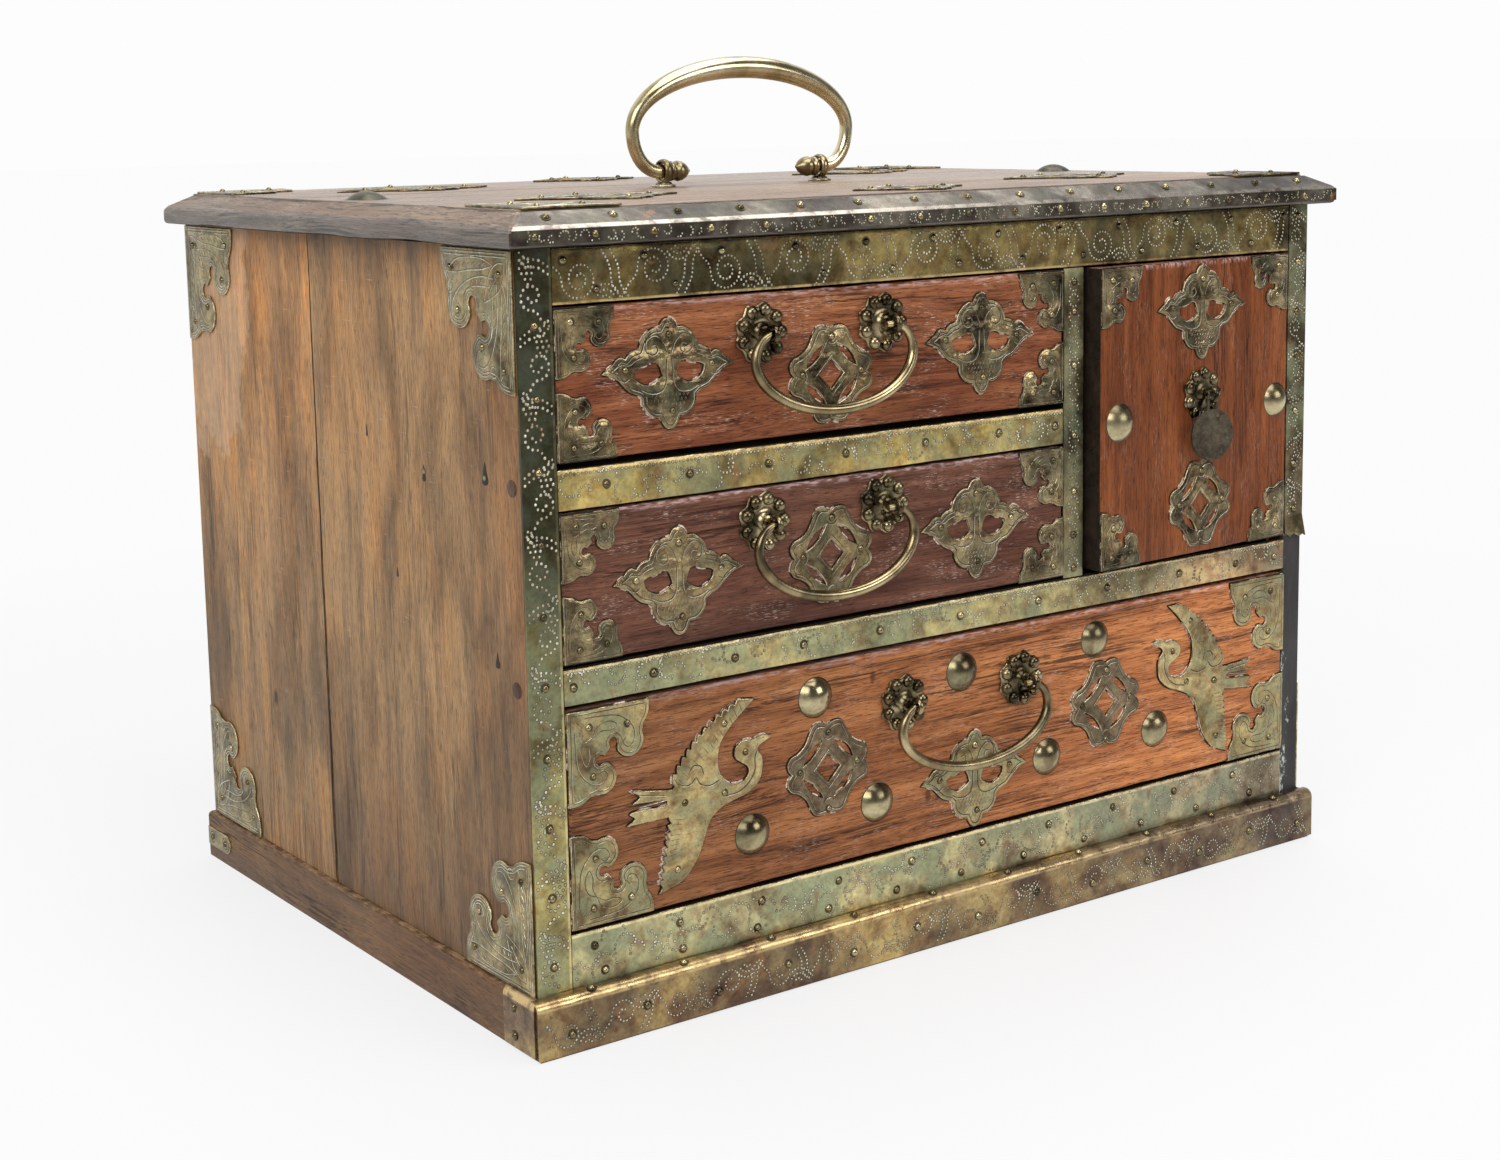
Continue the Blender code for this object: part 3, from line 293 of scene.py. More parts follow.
def brass(name, deep, plain, gold, green=0.3, rough=0.34, fade=None, metal=0.85, shift=0, size=1, dents=0.35,
          specks=0.25, edges=(), painted_upper_shade=0):
    """Tarnished sheet brass: gold and brown patches, verdigris, rust, specks, dents, bright bands along edges
    (wear with a painted highlight) and, where asked, painted shade on upward faces.
    """
    m = Mat(name)
    pits = min(1, specks * 8)

    def cells(mm, detail, place):
        return m.noise(1 / (mm * size), place, detail, 0.6, 0.4)
    m.tone = m.ramp(cells(32, 4, (shift, 3, 1)), (0.37, deep), (0.5, plain), (0.64, gold))
    bloom = cells(6, 4, (shift, 6, 8))
    m.tint(0.65 * pits, m.ramp(bloom, (0.36, (0.6, 0.47, 0.5)), (0.5, 1), (0.64, (1.28, 1.42, 1.4))))
    patina = cells(17, 5, (shift + 8, 5, 2))
    cover = m.span(patina, 0.45, 0.58, 0, green)
    m.mix(cover, (0.29, 0.33, 0.19))
    rust = m.span(cells(9, 4, (shift + 2, 9, 4)), 0.62, 0.68, 0, 0.65 * pits)
    m.mix(rust, (0.24, 0.11, 0.045))
    if specks:
        m.tint(specks, m.ramp(cells(1.5, 4, (shift, 7, 2)), (0.36, 0.35), (0.62, 1.45)))
    spot = m.span(cells(2.2, 2, (shift, 1, 6)), 0.66, 0.72) * pits
    m.mix(spot * 0.6, darker(deep, 0.3))
    # Bright bands along given edges: a painted highlight where a rounded edge catches the light, partly real
    # wear.
    for axis, place, reach in edges:
        away = m.axis(axis) - place
        wear_and_highlight = m.span(away.combine("ABSOLUTE", away), reach, reach * 0.55)
        m.mix(wear_and_highlight * m.span(bloom, 0.38, 0.52, 0.25, 1), tuple(min(1, c * 1.25 + 0.06) for c in gold))
    # Painted shade: faces that look upwards darken, standing in for the dark room they reflect.
    if painted_upper_shade:
        upward = m.axis("Z", m.node("ShaderNodeTexCoord", out="Normal"))
        m.tint(m.span(upward, -0.25, 0.75, 0, painted_upper_shade), (0.4, 0.36, 0.34))
    if fade:
        m.fade(*fade)
    dull = (cover * 0.7).most(rust, spot)
    if dents:
        wave = m.noise(1 / (14 * size), (shift, 4, 4), 2, 0.5)
        stipple = m.noise(1 / 0.9, (shift, 2, 3), 2, 0.6)
        relief = wave + (stipple - spot) * (0.07 if specks > 0.1 else 0)
        m.set({"Normal": m.bump(relief, dents, 2)})
    return m.set({"Base Color": m.tone, "Metallic": (1 - dull * 0.7) * metal,
                  "Roughness": m.span(patina, 0.3, 0.7, rough - 0.06, rough + 0.12) + dull * 0.15})


def residue_mat():
    """Pale dried polish."""
    m = Mat("polish_residue")
    crumbs = m.noise(1.2, rough=0.7)
    tone = m.ramp(crumbs, (0.4, (0.3, 0.2, 0.15)), (0.6, (0.72, 0.6, 0.52)))
    return m.set({"Base Color": tone, "Roughness": m.span(crumbs, 0.3, 0.7, 0.5, 0.8),
                  "Normal": m.bump(crumbs, 0.4, 0.2)})


WOOD_1 = wood("wood_drawer_1", "X", (0.055, 0.018, 0.009), (0.25, 0.083, 0.032), (0.45, 0.18, 0.075), 3, 0.5,
              stain=0.72, top=266)
WOOD_2 = wood("wood_drawer_2", "X", (0.035, 0.014, 0.009), (0.13, 0.052, 0.031), (0.24, 0.1, 0.06), 17, 0.45,
              stain=0.72, top=194.2)
WOOD_3 = wood("wood_drawer_3", "X", (0.1, 0.032, 0.012), (0.47, 0.165, 0.055), (0.74, 0.31, 0.11), 29, 0.45,
              stain=0.3, top=123.8, streaks=0.49, knots=(((-47, -143, 114), 1.7), ((-19.5, -143, 61.5), 2)),
              fade=("X", 120, -150, (0.48, 0.53, 0.6)))
WOOD_DOOR = wood("wood_door", "Z", (0.055, 0.013, 0.004), (0.19, 0.052, 0.013), (0.33, 0.105, 0.032), 41,
                 0.15, top=266.1)
WOOD_DARK = wood("wood_dark_edge", "X", (0.008, 0.006, 0.004), (0.022, 0.015, 0.01), (0.05, 0.034, 0.022), 8)
LID_EDGE = wood("wood_lid_edge", "X", (0.03, 0.022, 0.016), (0.14, 0.11, 0.085), (0.36, 0.3, 0.24), 8,
                rough=0.28, gloss=0.45, wrap=True)
LID_BEVEL = wood("wood_lid_bevel", "X", (0.09, 0.058, 0.036), (0.22, 0.15, 0.098), (0.36, 0.265, 0.19), 15,
                 0.4, 0.36, gloss=0.35, wrap=True)
WOOD_PLINTH = wood("wood_plinth", "X", (0.05, 0.025, 0.012), (0.19, 0.103, 0.048), (0.34, 0.195, 0.09), 13,
                   rough=0.42, wrap=True, top=21.6, wear_and_glint=(0.52, 0.33, 0.17), streaks=0.5)
WOOD_LID = wood("wood_lid", "X", (0.1, 0.058, 0.034), (0.28, 0.186, 0.116), (0.43, 0.31, 0.21), 21, 0.3, 0.3,
                gloss=0.5)
WOOD_INSIDE = wood("wood_inside", "Y", (0.2, 0.125, 0.07), (0.37, 0.25, 0.15), (0.5, 0.36, 0.23), 33,
                   rough=0.6)
PLUG = wood("wood_plugs", "Z", (0.04, 0.02, 0.012), (0.11, 0.055, 0.035), (0.2, 0.105, 0.07), 4, 0.2)
SIDE_A = side_board("wood_side_front", 5, low=1, high=1.12)
SIDE_B = side_board("wood_side_back", 26, (((-SIDE_X, 71, 88.6), 2.6),), (-SIDE_X, 124, 268), low=0.3,
                    warm=1, high=1.45)
SIDE_C = side_board("wood_side_right", 51, (((SIDE_X, 40, 190), 3.4), ((SIDE_X, -62, 96), 2.4)),
                    bare=139.5)
BACK = side_board("wood_back", 73)

# The top rail's dark tone is partly painted shade from the lid's overhang and a painted dark reflection.
BRASS_TOP = brass("brass_top_rail", (0.055, 0.038, 0.015), (0.165, 0.117, 0.042), (0.42, 0.3, 0.105), 0.12,
                  0.26, edges=(("Z", 267.3, 0.8),))
# The left stile darkens from z 88 to 190: a painted reflection of the dark room beyond the floor.
BRASS_STILE = brass("brass_left_stile", (0.15, 0.12, 0.05), (0.32, 0.27, 0.11), (0.48, 0.39, 0.15), 0.6, 0.36,
                    ("Z", 88, 190, (0.17, 0.19, 0.21)), edges=(("X", -186.4, 0.7),))
BRASS_STILE_R = brass("brass_right_stile", (0.08, 0.06, 0.03), (0.2, 0.15, 0.08), (0.36, 0.27, 0.13), 0.45)
BRASS_RAIL = brass("brass_rails", (0.16, 0.115, 0.045), (0.38, 0.285, 0.105), (0.66, 0.47, 0.15), 0.45, 0.3,
                   ("X", 40, 170, (0.8, 0.76, 0.95)), edges=(("Z", 209.2, 1.3),))
BRASS_RAIL_2 = brass("brass_lower_rail", (0.19, 0.16, 0.075), (0.4, 0.335, 0.155), (0.62, 0.5, 0.22), 0.6,
                     0.32, ("X", 40, 170, (1.05, 0.84, 0.95)), shift=4, edges=(("Z", 138.5, 1.3),))
BRASS_LOW = brass("brass_bottom_rail", (0.24, 0.19, 0.1), (0.46, 0.4, 0.21), (0.66, 0.55, 0.27), 0.75, 0.36,
                  ("X", -40, 170, (0.72, 0.7, 0.85)), edges=(("Z", 41.5, 1.2),))
BRASS_DIVIDER = brass("brass_divider", (0.045, 0.037, 0.021), (0.145, 0.118, 0.062), (0.34, 0.275, 0.14), 0.4,
                      0.3)
BRASS_BASE = brass("brass_plinth", (0.095, 0.052, 0.036), (0.235, 0.152, 0.074), (0.48, 0.33, 0.13), 0.12,
                   0.24, ("X", -40, 150, (0.62, 0.64, 0.85)), edges=(("Z", 20.2, 1.9),))
# The lid edge's bright band at z 294.3 is a painted highlight along its rounded bevel.
BRASS_LID = brass("brass_lid_edge", (0.045, 0.036, 0.028), (0.11, 0.09, 0.072), (0.31, 0.27, 0.22), 0.1, 0.2,
                  dents=0.12, specks=0.12, edges=(("Z", 294.3, 0.8),))
PLATE_DARK = brass("brass_plates_upper", (0.035, 0.024, 0.012), (0.155, 0.112, 0.054), (0.42, 0.305, 0.145),
                   0.15, 0.22, size=0.5, dents=0.55)
PLATE_MID = brass("brass_plates_middle", (0.1, 0.072, 0.037), (0.25, 0.18, 0.09), (0.41, 0.3, 0.14), 0.2,
                  0.24, size=0.5, dents=0.5)
PLATE_SIDE = brass("brass_plates_side", (0.09, 0.066, 0.03), (0.23, 0.172, 0.08), (0.42, 0.32, 0.15),
                   rough=0.3, size=0.45)
PLATE_GREEN = brass("brass_plates_lower", (0.14, 0.1, 0.048), (0.33, 0.25, 0.115), (0.54, 0.41, 0.18), 0.5,
                    0.36, size=0.6)
PLATE_BROWN = brass("brass_coins_lower", (0.09, 0.06, 0.034), (0.17, 0.12, 0.07), (0.28, 0.2, 0.12), 0.12,
                    0.4, size=0.4)
PLATE_CRANE = brass("brass_cranes", (0.18, 0.115, 0.045), (0.43, 0.315, 0.14), (0.62, 0.47, 0.21), 0.45, 0.32,
                    size=0.6)
RIM_BRASS = brass("brass_cut_rims", (0.2, 0.155, 0.08), (0.46, 0.37, 0.21), (0.72, 0.62, 0.42), 0.05, 0.24,
                  size=0.3)
RIM_DARK = brass("brass_cut_rims_dark", (0.14, 0.105, 0.055), (0.36, 0.28, 0.16), (0.66, 0.56, 0.38), 0.05,
                 0.22, size=0.3)
PIN_BRASS = brass("brass_pins", (0.07, 0.054, 0.028), (0.22, 0.172, 0.086), (0.5, 0.41, 0.23), 0.06, 0.15,
                  metal=1, size=0.5, dents=0.1, specks=0)
DOME_BRASS = brass("brass_domes", (0.17, 0.138, 0.08), (0.38, 0.318, 0.18), (0.6, 0.51, 0.3), 0.12, 0.2,
                   metal=1, size=0.8, dents=0.02, specks=0.08, painted_upper_shade=0.9)
DOME_DARK = brass("brass_domes_dark", (0.04, 0.033, 0.024), (0.09, 0.075, 0.056), (0.16, 0.135, 0.1), 0.1,
                  0.28, metal=0.9, size=0.7, dents=0.1, specks=0.1)
BAIL_BRASS = brass("brass_bails", (0.14, 0.108, 0.06), (0.34, 0.265, 0.145), (0.55, 0.44, 0.25), 0.05, 0.22,
                   metal=1, dents=0.08, specks=0.05)
ROSE_BRASS = brass("brass_rosettes", (0.03, 0.021, 0.012), (0.13, 0.097, 0.051), (0.4, 0.32, 0.19), 0.1, 0.18,
                   metal=1, size=0.4, dents=0.1, specks=0.05)
HANDLE_BRASS = brass("brass_handle", (0.4, 0.33, 0.18), (0.64, 0.55, 0.34), (0.8, 0.71, 0.48), 0, 0.18,
                     metal=1, dents=0, specks=0)
POST_BRASS = brass("brass_handle_posts", (0.1, 0.075, 0.04), (0.24, 0.19, 0.1), (0.42, 0.34, 0.2), 0, 0.25,
                   metal=1, dents=0.06, specks=0)
DISC_METAL = brass("metal_disc", (0.026, 0.017, 0.01), (0.055, 0.038, 0.024), (0.095, 0.068, 0.045), 0.1, 0.6,
                   metal=0.55, size=0.3)
PUNCH = brass("punched_marks_lit", (0.27, 0.245, 0.16), (0.51, 0.475, 0.35), (0.74, 0.7, 0.57), 0.05, 0.3,
              metal=0.7, size=0.4)
ENGRAVED = brass("engraved_lines", (0.02, 0.014, 0.008), (0.045, 0.032, 0.016), (0.1, 0.075, 0.04), 0.1, 0.5,
                 metal=0.4)
RESIDUE = residue_mat()


# Mesh helpers


def placed(name, data):
    """A new object of the scene."""
    obj = bpy.data.objects.new(name, data)
    bpy.context.scene.collection.objects.link(obj)
    return obj


def from_bm(name, bm, *mats):
    """Turns a bmesh into an object and frees it."""
    mesh = bpy.data.meshes.new(name)
    bm.to_mesh(mesh)
    bm.free()
    for mat in mats:
        mesh.materials.append(mat.mat)
    return placed(name, mesh)


def piece(name, bm, mat, body, slot, *stands_for, soft=None, also=()):
    """Turns a bmesh in millimetres into a piece that rides on a body."""
    bmesh.ops.scale(bm, vec=(MM, MM, MM), verts=bm.verts)
    obj = from_bm(name, bm, mat, *also)
    if soft is not None:
        obj.data.shade_smooth()
        obj.data.set_sharp_from_angle(angle=math.radians(soft))
    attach(obj, body)
    if stands_for:
        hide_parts(*stands_for)
    return obj


def move(x, y, z=0):
    return Matrix.Translation((x, y, z))


def rotate(degrees, axis):
    return Matrix.Rotation(math.radians(degrees), 4, axis)


def stretch(x, y):
    return Matrix.Diagonal((x, y, 1, 1))


def frame_at(place, right, up, out):
    """Local X, Y and Z run right, up and out from a place."""
    return move(*place) @ Matrix((right, up, out)).transposed().to_4x4()


def front_at(x, z, y=Y_FRONT, turn=0, flip=1):
    """Local X to the right, local Y up, local Z off the front."""
    return move(x, y, z) @ rotate(90, "X") @ stretch(flip, 1) @ rotate(turn, "Z")


def flat_at(x, y, scale=1, turn=0, z=LID_TOP):
    return move(x, y, z) @ rotate(turn, "Z") @ stretch(scale, scale)


def transformed(bm, matrix):
    bmesh.ops.transform(bm, matrix=matrix, verts=bm.verts)
    return bm


def recalc(bm):
    bmesh.ops.recalc_face_normals(bm, faces=bm.faces)
    return bm


def around(count):
    """Angles of one turn in even steps."""
    return [2 * math.pi * k / count for k in range(count)]


def circle(cx, cy, radius, count):
    return [(cx + radius * math.cos(a), cy + radius * math.sin(a)) for a in around(count)]


def arc(cx, cy, radius, start, end, steps):
    angles = [math.radians(start + (end - start) * i / steps) for i in range(steps + 1)]
    return [(cx + radius * math.cos(a), cy + radius * math.sin(a)) for a in angles]


def way_at(points, i, closed):
    """From the point before to the point after."""
    count = len(points)
    if closed:
        return points[(i + 1) % count] - points[i - 1]
    return points[min(i + 1, count - 1)] - points[max(i - 1, 0)]


def left_of(way):
    return Vector((-way.y, way.x)).normalized()


def flow(points, spacing=0.9, closed=True):
    """A smooth line through points; a third number in a point makes a sharp corner there."""
    count = len(points)
    flat = [Vector(p[:2]) for p in points]
    sharp = [len(p) > 2 for p in points]
    made = []
    for i in range(count if closed else count - 1):
        a, b = flat[i], flat[(i + 1) % count]
        before = a - (b - a) if sharp[i] or (not closed and i == 0) else flat[i - 1]
        last = not closed and i == count - 2
        after = b + (b - a) if sharp[(i + 1) % count] or last else flat[(i + 2) % count]
        steps = max(1, round((b - a).length / spacing))
        for k in range(steps):
            t = k / steps
            p = 0.5 * (2 * a + (b - before) * t + (2 * before - 5 * a + 4 * b - after) * t * t
                       + (3 * a - before - 3 * b + after) * t ** 3)
            made.append((p.x, p.y))
    if not closed:
        made.append(tuple(flat[-1]))
    return made


def sweeps(spacing, *lines):
    """Open smooth lines."""
    return [flow(line, spacing, False) for line in lines]


def sheet_bm(loops, thickness, rim=0.28):
    """A flat plate in the XY plane, from 0 up to its thickness, with eased rims and holes."""
    curve = bpy.data.curves.new("outline", "CURVE")
    curve.dimensions = "2D"
    curve.fill_mode = "BOTH"
    curve.extrude = thickness / 2 - rim
    curve.bevel_depth = rim
    curve.bevel_resolution = 1
    curve.offset = -rim
    for loop in loops:
        spline = curve.splines.new("POLY")
        spline.points.add(len(loop) - 1)
        for point, (u, v) in zip(spline.points, loop):
            point.co = (u, v, 0, 1)
        spline.use_cyclic_u = True
    holder = placed("outline", curve)
    graph = bpy.context.evaluated_depsgraph_get()
    mesh = bpy.data.meshes.new_from_object(holder.evaluated_get(graph))
    bm = bmesh.new()
    bm.from_mesh(mesh)
    bpy.data.objects.remove(holder)
    bpy.data.curves.remove(curve)
    bpy.data.meshes.remove(mesh)
    bmesh.ops.remove_doubles(bm, verts=bm.verts, dist=0.002)
    bmesh.ops.translate(bm, vec=(0, 0, thickness / 2), verts=bm.verts)
    for face in bm.faces:
        face.normal_update()
        face.material_index = int(abs(face.normal.z) < 0.95)
    return bm


def join(target, source, matrix=Matrix()):
    """Adds one bmesh to another and frees it."""
    transformed(source, matrix)
    if matrix.determinant() < 0:
        bmesh.ops.reverse_faces(source, faces=source.faces)
    mesh = bpy.data.meshes.new("part")
    source.to_mesh(mesh)
    source.free()
    target.from_mesh(mesh)
    bpy.data.meshes.remove(mesh)


def skin(rings, closed=False, low_step=1):
    """Faces over rings of points; a ring of one point is a pole, and open ends are capped.

    The low cap is made from its points in steps of low_step, so -1 starts it at the other end.
    """
    bm = bmesh.new()
    rows = [[bm.verts.new(point) for point in ring] for ring in rings]
    for low, high in zip(rows, rows[1:] + (rows[:1] if closed else [])):
        for k in range(max(len(low), len(high))):
            below, above = ([row[i % len(row)] for i in (k, k + 1)] for row in (low, high))
            bm.faces.new(list(dict.fromkeys(below + above[::-1])))
    for row, step in ((rows[0], low_step), (rows[-1], 1)):
        if len(row) > 1 and not closed:
            bm.faces.new(row[::step])
    return recalc(bm)


def tube_bm(path, radii, sides, flat=1, normal=(0, 1, 0), closed=False):
    """A tube along a path; flat stretches its section along the path's normal."""
    points = [Vector(p) for p in path]
    rings = []
    for i, (point, radius) in enumerate(zip(points, radii)):
        way = way_at(points, i, closed).normalized()
        side = way.cross(Vector(normal)).normalized()
        up = side.cross(way).normalized()
        rings.append([point + radius * (math.cos(a) * side + flat * math.sin(a) * up) for a in around(sides)])
    return skin(rings, closed)


def eye_bm(x, y, z, radius, wire, flat, steps, sides):
    """A closed eye that stands across the front."""
    ring = [(x, u, v) for u, v in circle(y, z, radius, steps)]
    return tube_bm(ring, [wire] * steps, sides, flat, (1, 0, 0), True)


def turned_bm(profile, sides, matrix=Matrix(), wave=lambda a, radius: radius):
    """A turned solid about local Z, from pole to pole; wave(angle, radius) can flute it."""
    rings = []
    for radius, height in profile:
        turns = around(sides) if radius > 1e-6 else [0]
        rings.append([(wave(a, radius) * math.cos(a), wave(a, radius) * math.sin(a), height) for a in turns])
    return transformed(skin(rings), matrix)


def nail_bm(radius, height, skirt, rings, sides):
    """A domed head; skirt is the profile of the dark ring round it, dirt with a painted shadow."""
    sphere = (radius ** 2 + height ** 2) / (2 * height)
    half = math.asin(min(1, radius / sphere))
    profile = [(0, -0.1), *skirt, (radius, 0.1)]
    for i in range(rings + 1):
        a = half * (1 - i / rings)
        profile.append((sphere * math.sin(a), sphere * math.cos(a) - sphere + height))
    nail = turned_bm(profile, sides)
    # Faces of the skirt take the dark second material: dirt with a painted shadow.
    for face in nail.faces:
        face.material_index = int(max(v.co.z for v in face.verts) < 0.12)
    return nail


def pins(name, places, body, slot="plate_brass", radius=1.3, height=1.15, mat=PIN_BRASS, seed=1):
    """Domed pins, each in a dark ring of dirt and painted shadow; every place is a matrix whose local Z
    stands off the surface.
    """
    rng = random.Random(seed)
    bm = bmesh.new()
    for place in places:
        r, h = radius * rng.uniform(0.92, 1.08), height * rng.uniform(0.9, 1.1)
        pin = nail_bm(r, h, [(r + 0.55, -0.1), (r + 0.5, 0.05)], 4, 12)
        lean, tilt = (Matrix.Rotation(rng.uniform(-0.1, 0.1), 4, axis) for axis in "XY")
        join(bm, pin, place @ (lean @ tilt))
    piece(name, bm, mat, body, slot, soft=60, also=(ENGRAVED,))


def ribbon_bm(bm, points, width, place, lift=0.05, material=0):
    """A low ridge of a given width along a line, its edges sunk in the surface."""
    flat = [Vector(p) for p in points]
    rows = []
    for i, p in enumerate(flat):
        way = way_at(flat, i, False)
        if way.length < 1e-6:
            continue
        side = left_of(way) * width / 2
        side *= 0.3 if i in (0, len(flat) - 1) else 1
        section = ((p + side, lift - 0.06), (p, lift + 0.03), (p - side, lift - 0.06))
        rows.append([bm.verts.new(place @ Vector((*at, height))) for at, height in section])
    for a, b in zip(rows, rows[1:]):
        for k in range(2):
            bm.faces.new((a[k], a[k + 1], b[k + 1], b[k])).material_index = material


def open_lines(name, lines, width, lift, body, slot):
    """Dark cracks and seams; lines holds pairs of a line and the matrix of its surface."""
    bm = bmesh.new()
    for line, place in lines:
        ribbon_bm(bm, line, width, place, lift)
    piece(name, recalc(bm), WOOD_DARK, body, slot)


def board_bm(x, y, z, ease=1, wobble=0.25, seed=0, step=7):
    """A planed board with eased, slightly uneven edges."""
    bm = bmesh.new()
    middle = Vector([(low + high) / 2 for low, high in (x, y, z)])
    size = Matrix.Diagonal((x[1] - x[0], y[1] - y[0], z[1] - z[0], 1))
    bmesh.ops.create_cube(bm, size=1, matrix=move(*middle) @ size)
    bmesh.ops.bevel(bm, geom=bm.edges[:], offset=ease, segments=3, profile=0.5, affect="EDGES")
    for axis, (low, high) in ((0, x), (2, z)):
        way = Vector((0, 0, 0))
        way[axis] = 1
        cuts = int((high - low) / step)
        for i in range(1, cuts):
            spot = way * (low + (high - low) * i / cuts)
            bmesh.ops.bisect_plane(bm, geom=[*bm.verts, *bm.edges, *bm.faces], plane_co=spot, plane_no=way)
    for vert in bm.verts:
        p = vert.co.copy()
        for axis, (low, high) in ((0, x), (2, z)):
            if min(p[axis] - low, high - p[axis]) < 2:
                uneven = noise.noise(Vector((p.x * 0.045, seed + axis * 9, p.z * 0.045)))
                vert.co[axis] -= math.copysign(wobble * abs(uneven) * 1.6, p[axis] - middle[axis])
    for face in recalc(bm).faces:
        face.normal_update()
        face.material_index = int(face.normal.y > -0.3 and face.normal.z < 0.9)
    return bm


# Outlines of the plates and the strokes engraved in them, as lines in the plate's own plane


def mirrored(points, across, up=1):
    return [(across * p[0], up * p[1], *p[2:]) for p in points]


def swapped(points):
    return [(p[1], p[0], *p[2:]) for p in points]


def corner_loop():
    """Ogee corner mount, 50 long."""
    arm = [(50, 0, 1), (49.8, 4.5), (48.8, 8.6), (46.2, 12.6, 1)]
    lobe = arc(37.6, 20.2, 8.6, -25, 150, 6)
    pocket = arc(27.9, 19.7, 3.1, 50, -225, 5)
    half = arm
    for curve in (lobe, pocket):
        half += [(*curve[0], 1), *curve[1:-1], (*curve[-1], 1)]
    return flow([(0, 0, 1), *half, *swapped(reversed(half))], 1.2)


def bat_loops():
    """Butterfly plate and its two eye holes."""
    half = [(0, 18.8), (2.4, 18), (4.1, 15.4, 1), (6.6, 15.4), (9.5, 13.8), (11.7, 11.2), (12.8, 8.2, 1),
            (15.2, 7.7), (17.2, 6.6), (18.3, 5.2, 1), (20.2, 6.1), (22.2, 5.3), (23.6, 3.8), (25.8, 2.4),
            (28.2, 0.6, 1), (24.4, -0.5), (21.8, -1.9), (19.4, -4.4), (16.6, -6.7), (13.2, -7.9),
            (11.5, -9.2, 1), (11.4, -11.6), (9.7, -14.4), (6.9, -16.3), (4.2, -16.5, 1), (3.3, -18.8),
            (1.7, -20.6), (0, -21)]
    eye = [(2.9, -1.7, 1), (3.8, 0.9), (4.8, 3, 1), (7, 3.4), (10, 2.3), (13.4, 1.8), (15.2, 0.9, 1),
           (14.3, -1.9), (11.5, -4), (8.6, -4.6), (5.5, -3.5)]
    whole = half + mirrored(reversed(half[1:-1]), -1)
    return [flow(whole), flow(eye, 0.8), flow(mirrored(reversed(eye), -1), 0.8)]


def coin_loops():
    """Coin plate: four broad arms, a square hole in the middle and four leaf holes."""
    quarter = [(0, 17, 1), (1.8, 18), (5, 18.3), (7.3, 17.2), (9.1, 14.2), (11.1, 10.7), (14.3, 8.1),
               (17.8, 6.7), (19.5, 4.2), (18.9, 1.5), (17.4, 0, 1)]
    right = quarter + mirrored(reversed(quarter[:-1]), 1, -1)
    whole = right + mirrored(reversed(right[1:-1]), -1)
    square = [(5.8, 0, 1), (0, 5.8, 1), (-5.8, 0, 1), (0, -5.8, 1)]
    leaf = [(2.6, 11.5, 1), (6.6, 9.7), (10.1, 6.7), (12.2, 2.4, 1), (8.3, 4.5), (4.9, 7.7)]
    leaves = [flow(mirrored(leaf, across, up), 1) for across in (1, -1) for up in (1, -1)]
    return [flow(whole), flow(square, 2), *leaves]


def teeth(start, end, count, depth, bow=0):
    """Feather edge: pointed teeth between two points, the line bowed by bow."""
    a, b = Vector(start), Vector(end)
    points = []
    for i in range(count):
        for part, height in ((0, 0), (0.45, depth * 0.8), (0.75, depth)):
            t = (i + part) / count
            p = a + (b - a) * t + left_of(b - a) * (height + bow * 4 * t * (1 - t))
            points.append((p.x, p.y, 1) if part != 0.45 else (p.x, p.y))
    return points


def crane_loop():
    neck = [(33.5, 16.6, 1), (27, 13.4), (28.8, 10), (29, 6), (27.6, 1), (22.8, -2.8), (15.8, -4.7),
            (9.6, -6.6), (5.1, -9.9), (2.6, -15), (0.4, -20.5), (-3, -26), (-8.6, -30.8), (-18.6, -33.8, 1)]
    legs = [(-31.8, -5.6, 1), (-28.2, -3.4), (-30.4, -1.5, 1), (-28, -0.6), (-15.4, -1), (-14.2, 0),
            (-15.6, 1.2), (-29, 2.3, 1), (-25.9, 4.4), (-29.6, 7.2, 1), (-25.7, 6.7), (-11.4, 4.6)]
    wing = [(25.8, 32.4, 1), (20.6, 28.6), (14.8, 23.8), (10.4, 18.6), (8.8, 13.6), (9, 8.4), (11.4, 3.8),
            (15.4, 1.5), (19.6, 1.5), (22.5, 4), (22.3, 6.8), (19.6, 8.8), (16.7, 11), (16.4, 14.2),
            (18.6, 16.7), (22, 17.3), (25.1, 16.9), (29.7, 18)]
    low = teeth((-17, -31.6), (-11.8, -5.2), 9, 1.6)
    high = teeth((-11.6, 6.8), (20.2, 32.6), 12, 1.5, 3.6)
    return flow(neck + low + legs + high + wing, 0.9)


def inset(loop, gap):
    """Lines a gap inside an outline; parts that would come nearer than the gap are left out."""
    points = [Vector(p) for p in loop]
    area = sum(points[i - 1].cross(points[i]) for i in range(len(points)))
    runs, run = [], []
    for i, p in enumerate(points):
        way = way_at(points, i, True)
        if way.length < 1e-6:
            continue
        q = p + left_of(way) * math.copysign(gap, area)
        if min((q - other).length for other in points) > gap * 0.93:
            run.append(tuple(q))
        elif run:
            runs.append(run)
            run = []
    return [r for r in runs + [run] if len(r) > 3]


def hatch(x, z, step, slope, inside):
    """Rows of short slanting dashes within a region."""
    rows = []
    z0 = z[0]
    while z0 < z[1]:
        x0 = x[0] + (step / 2 if len(rows) % 2 else 0)
        while x0 < x[1]:
            if inside(x0, z0):
                rows.append([(x0, z0), (x0 + slope, z0 + 0.9)])
            x0 += step
        z0 += step
    return rows


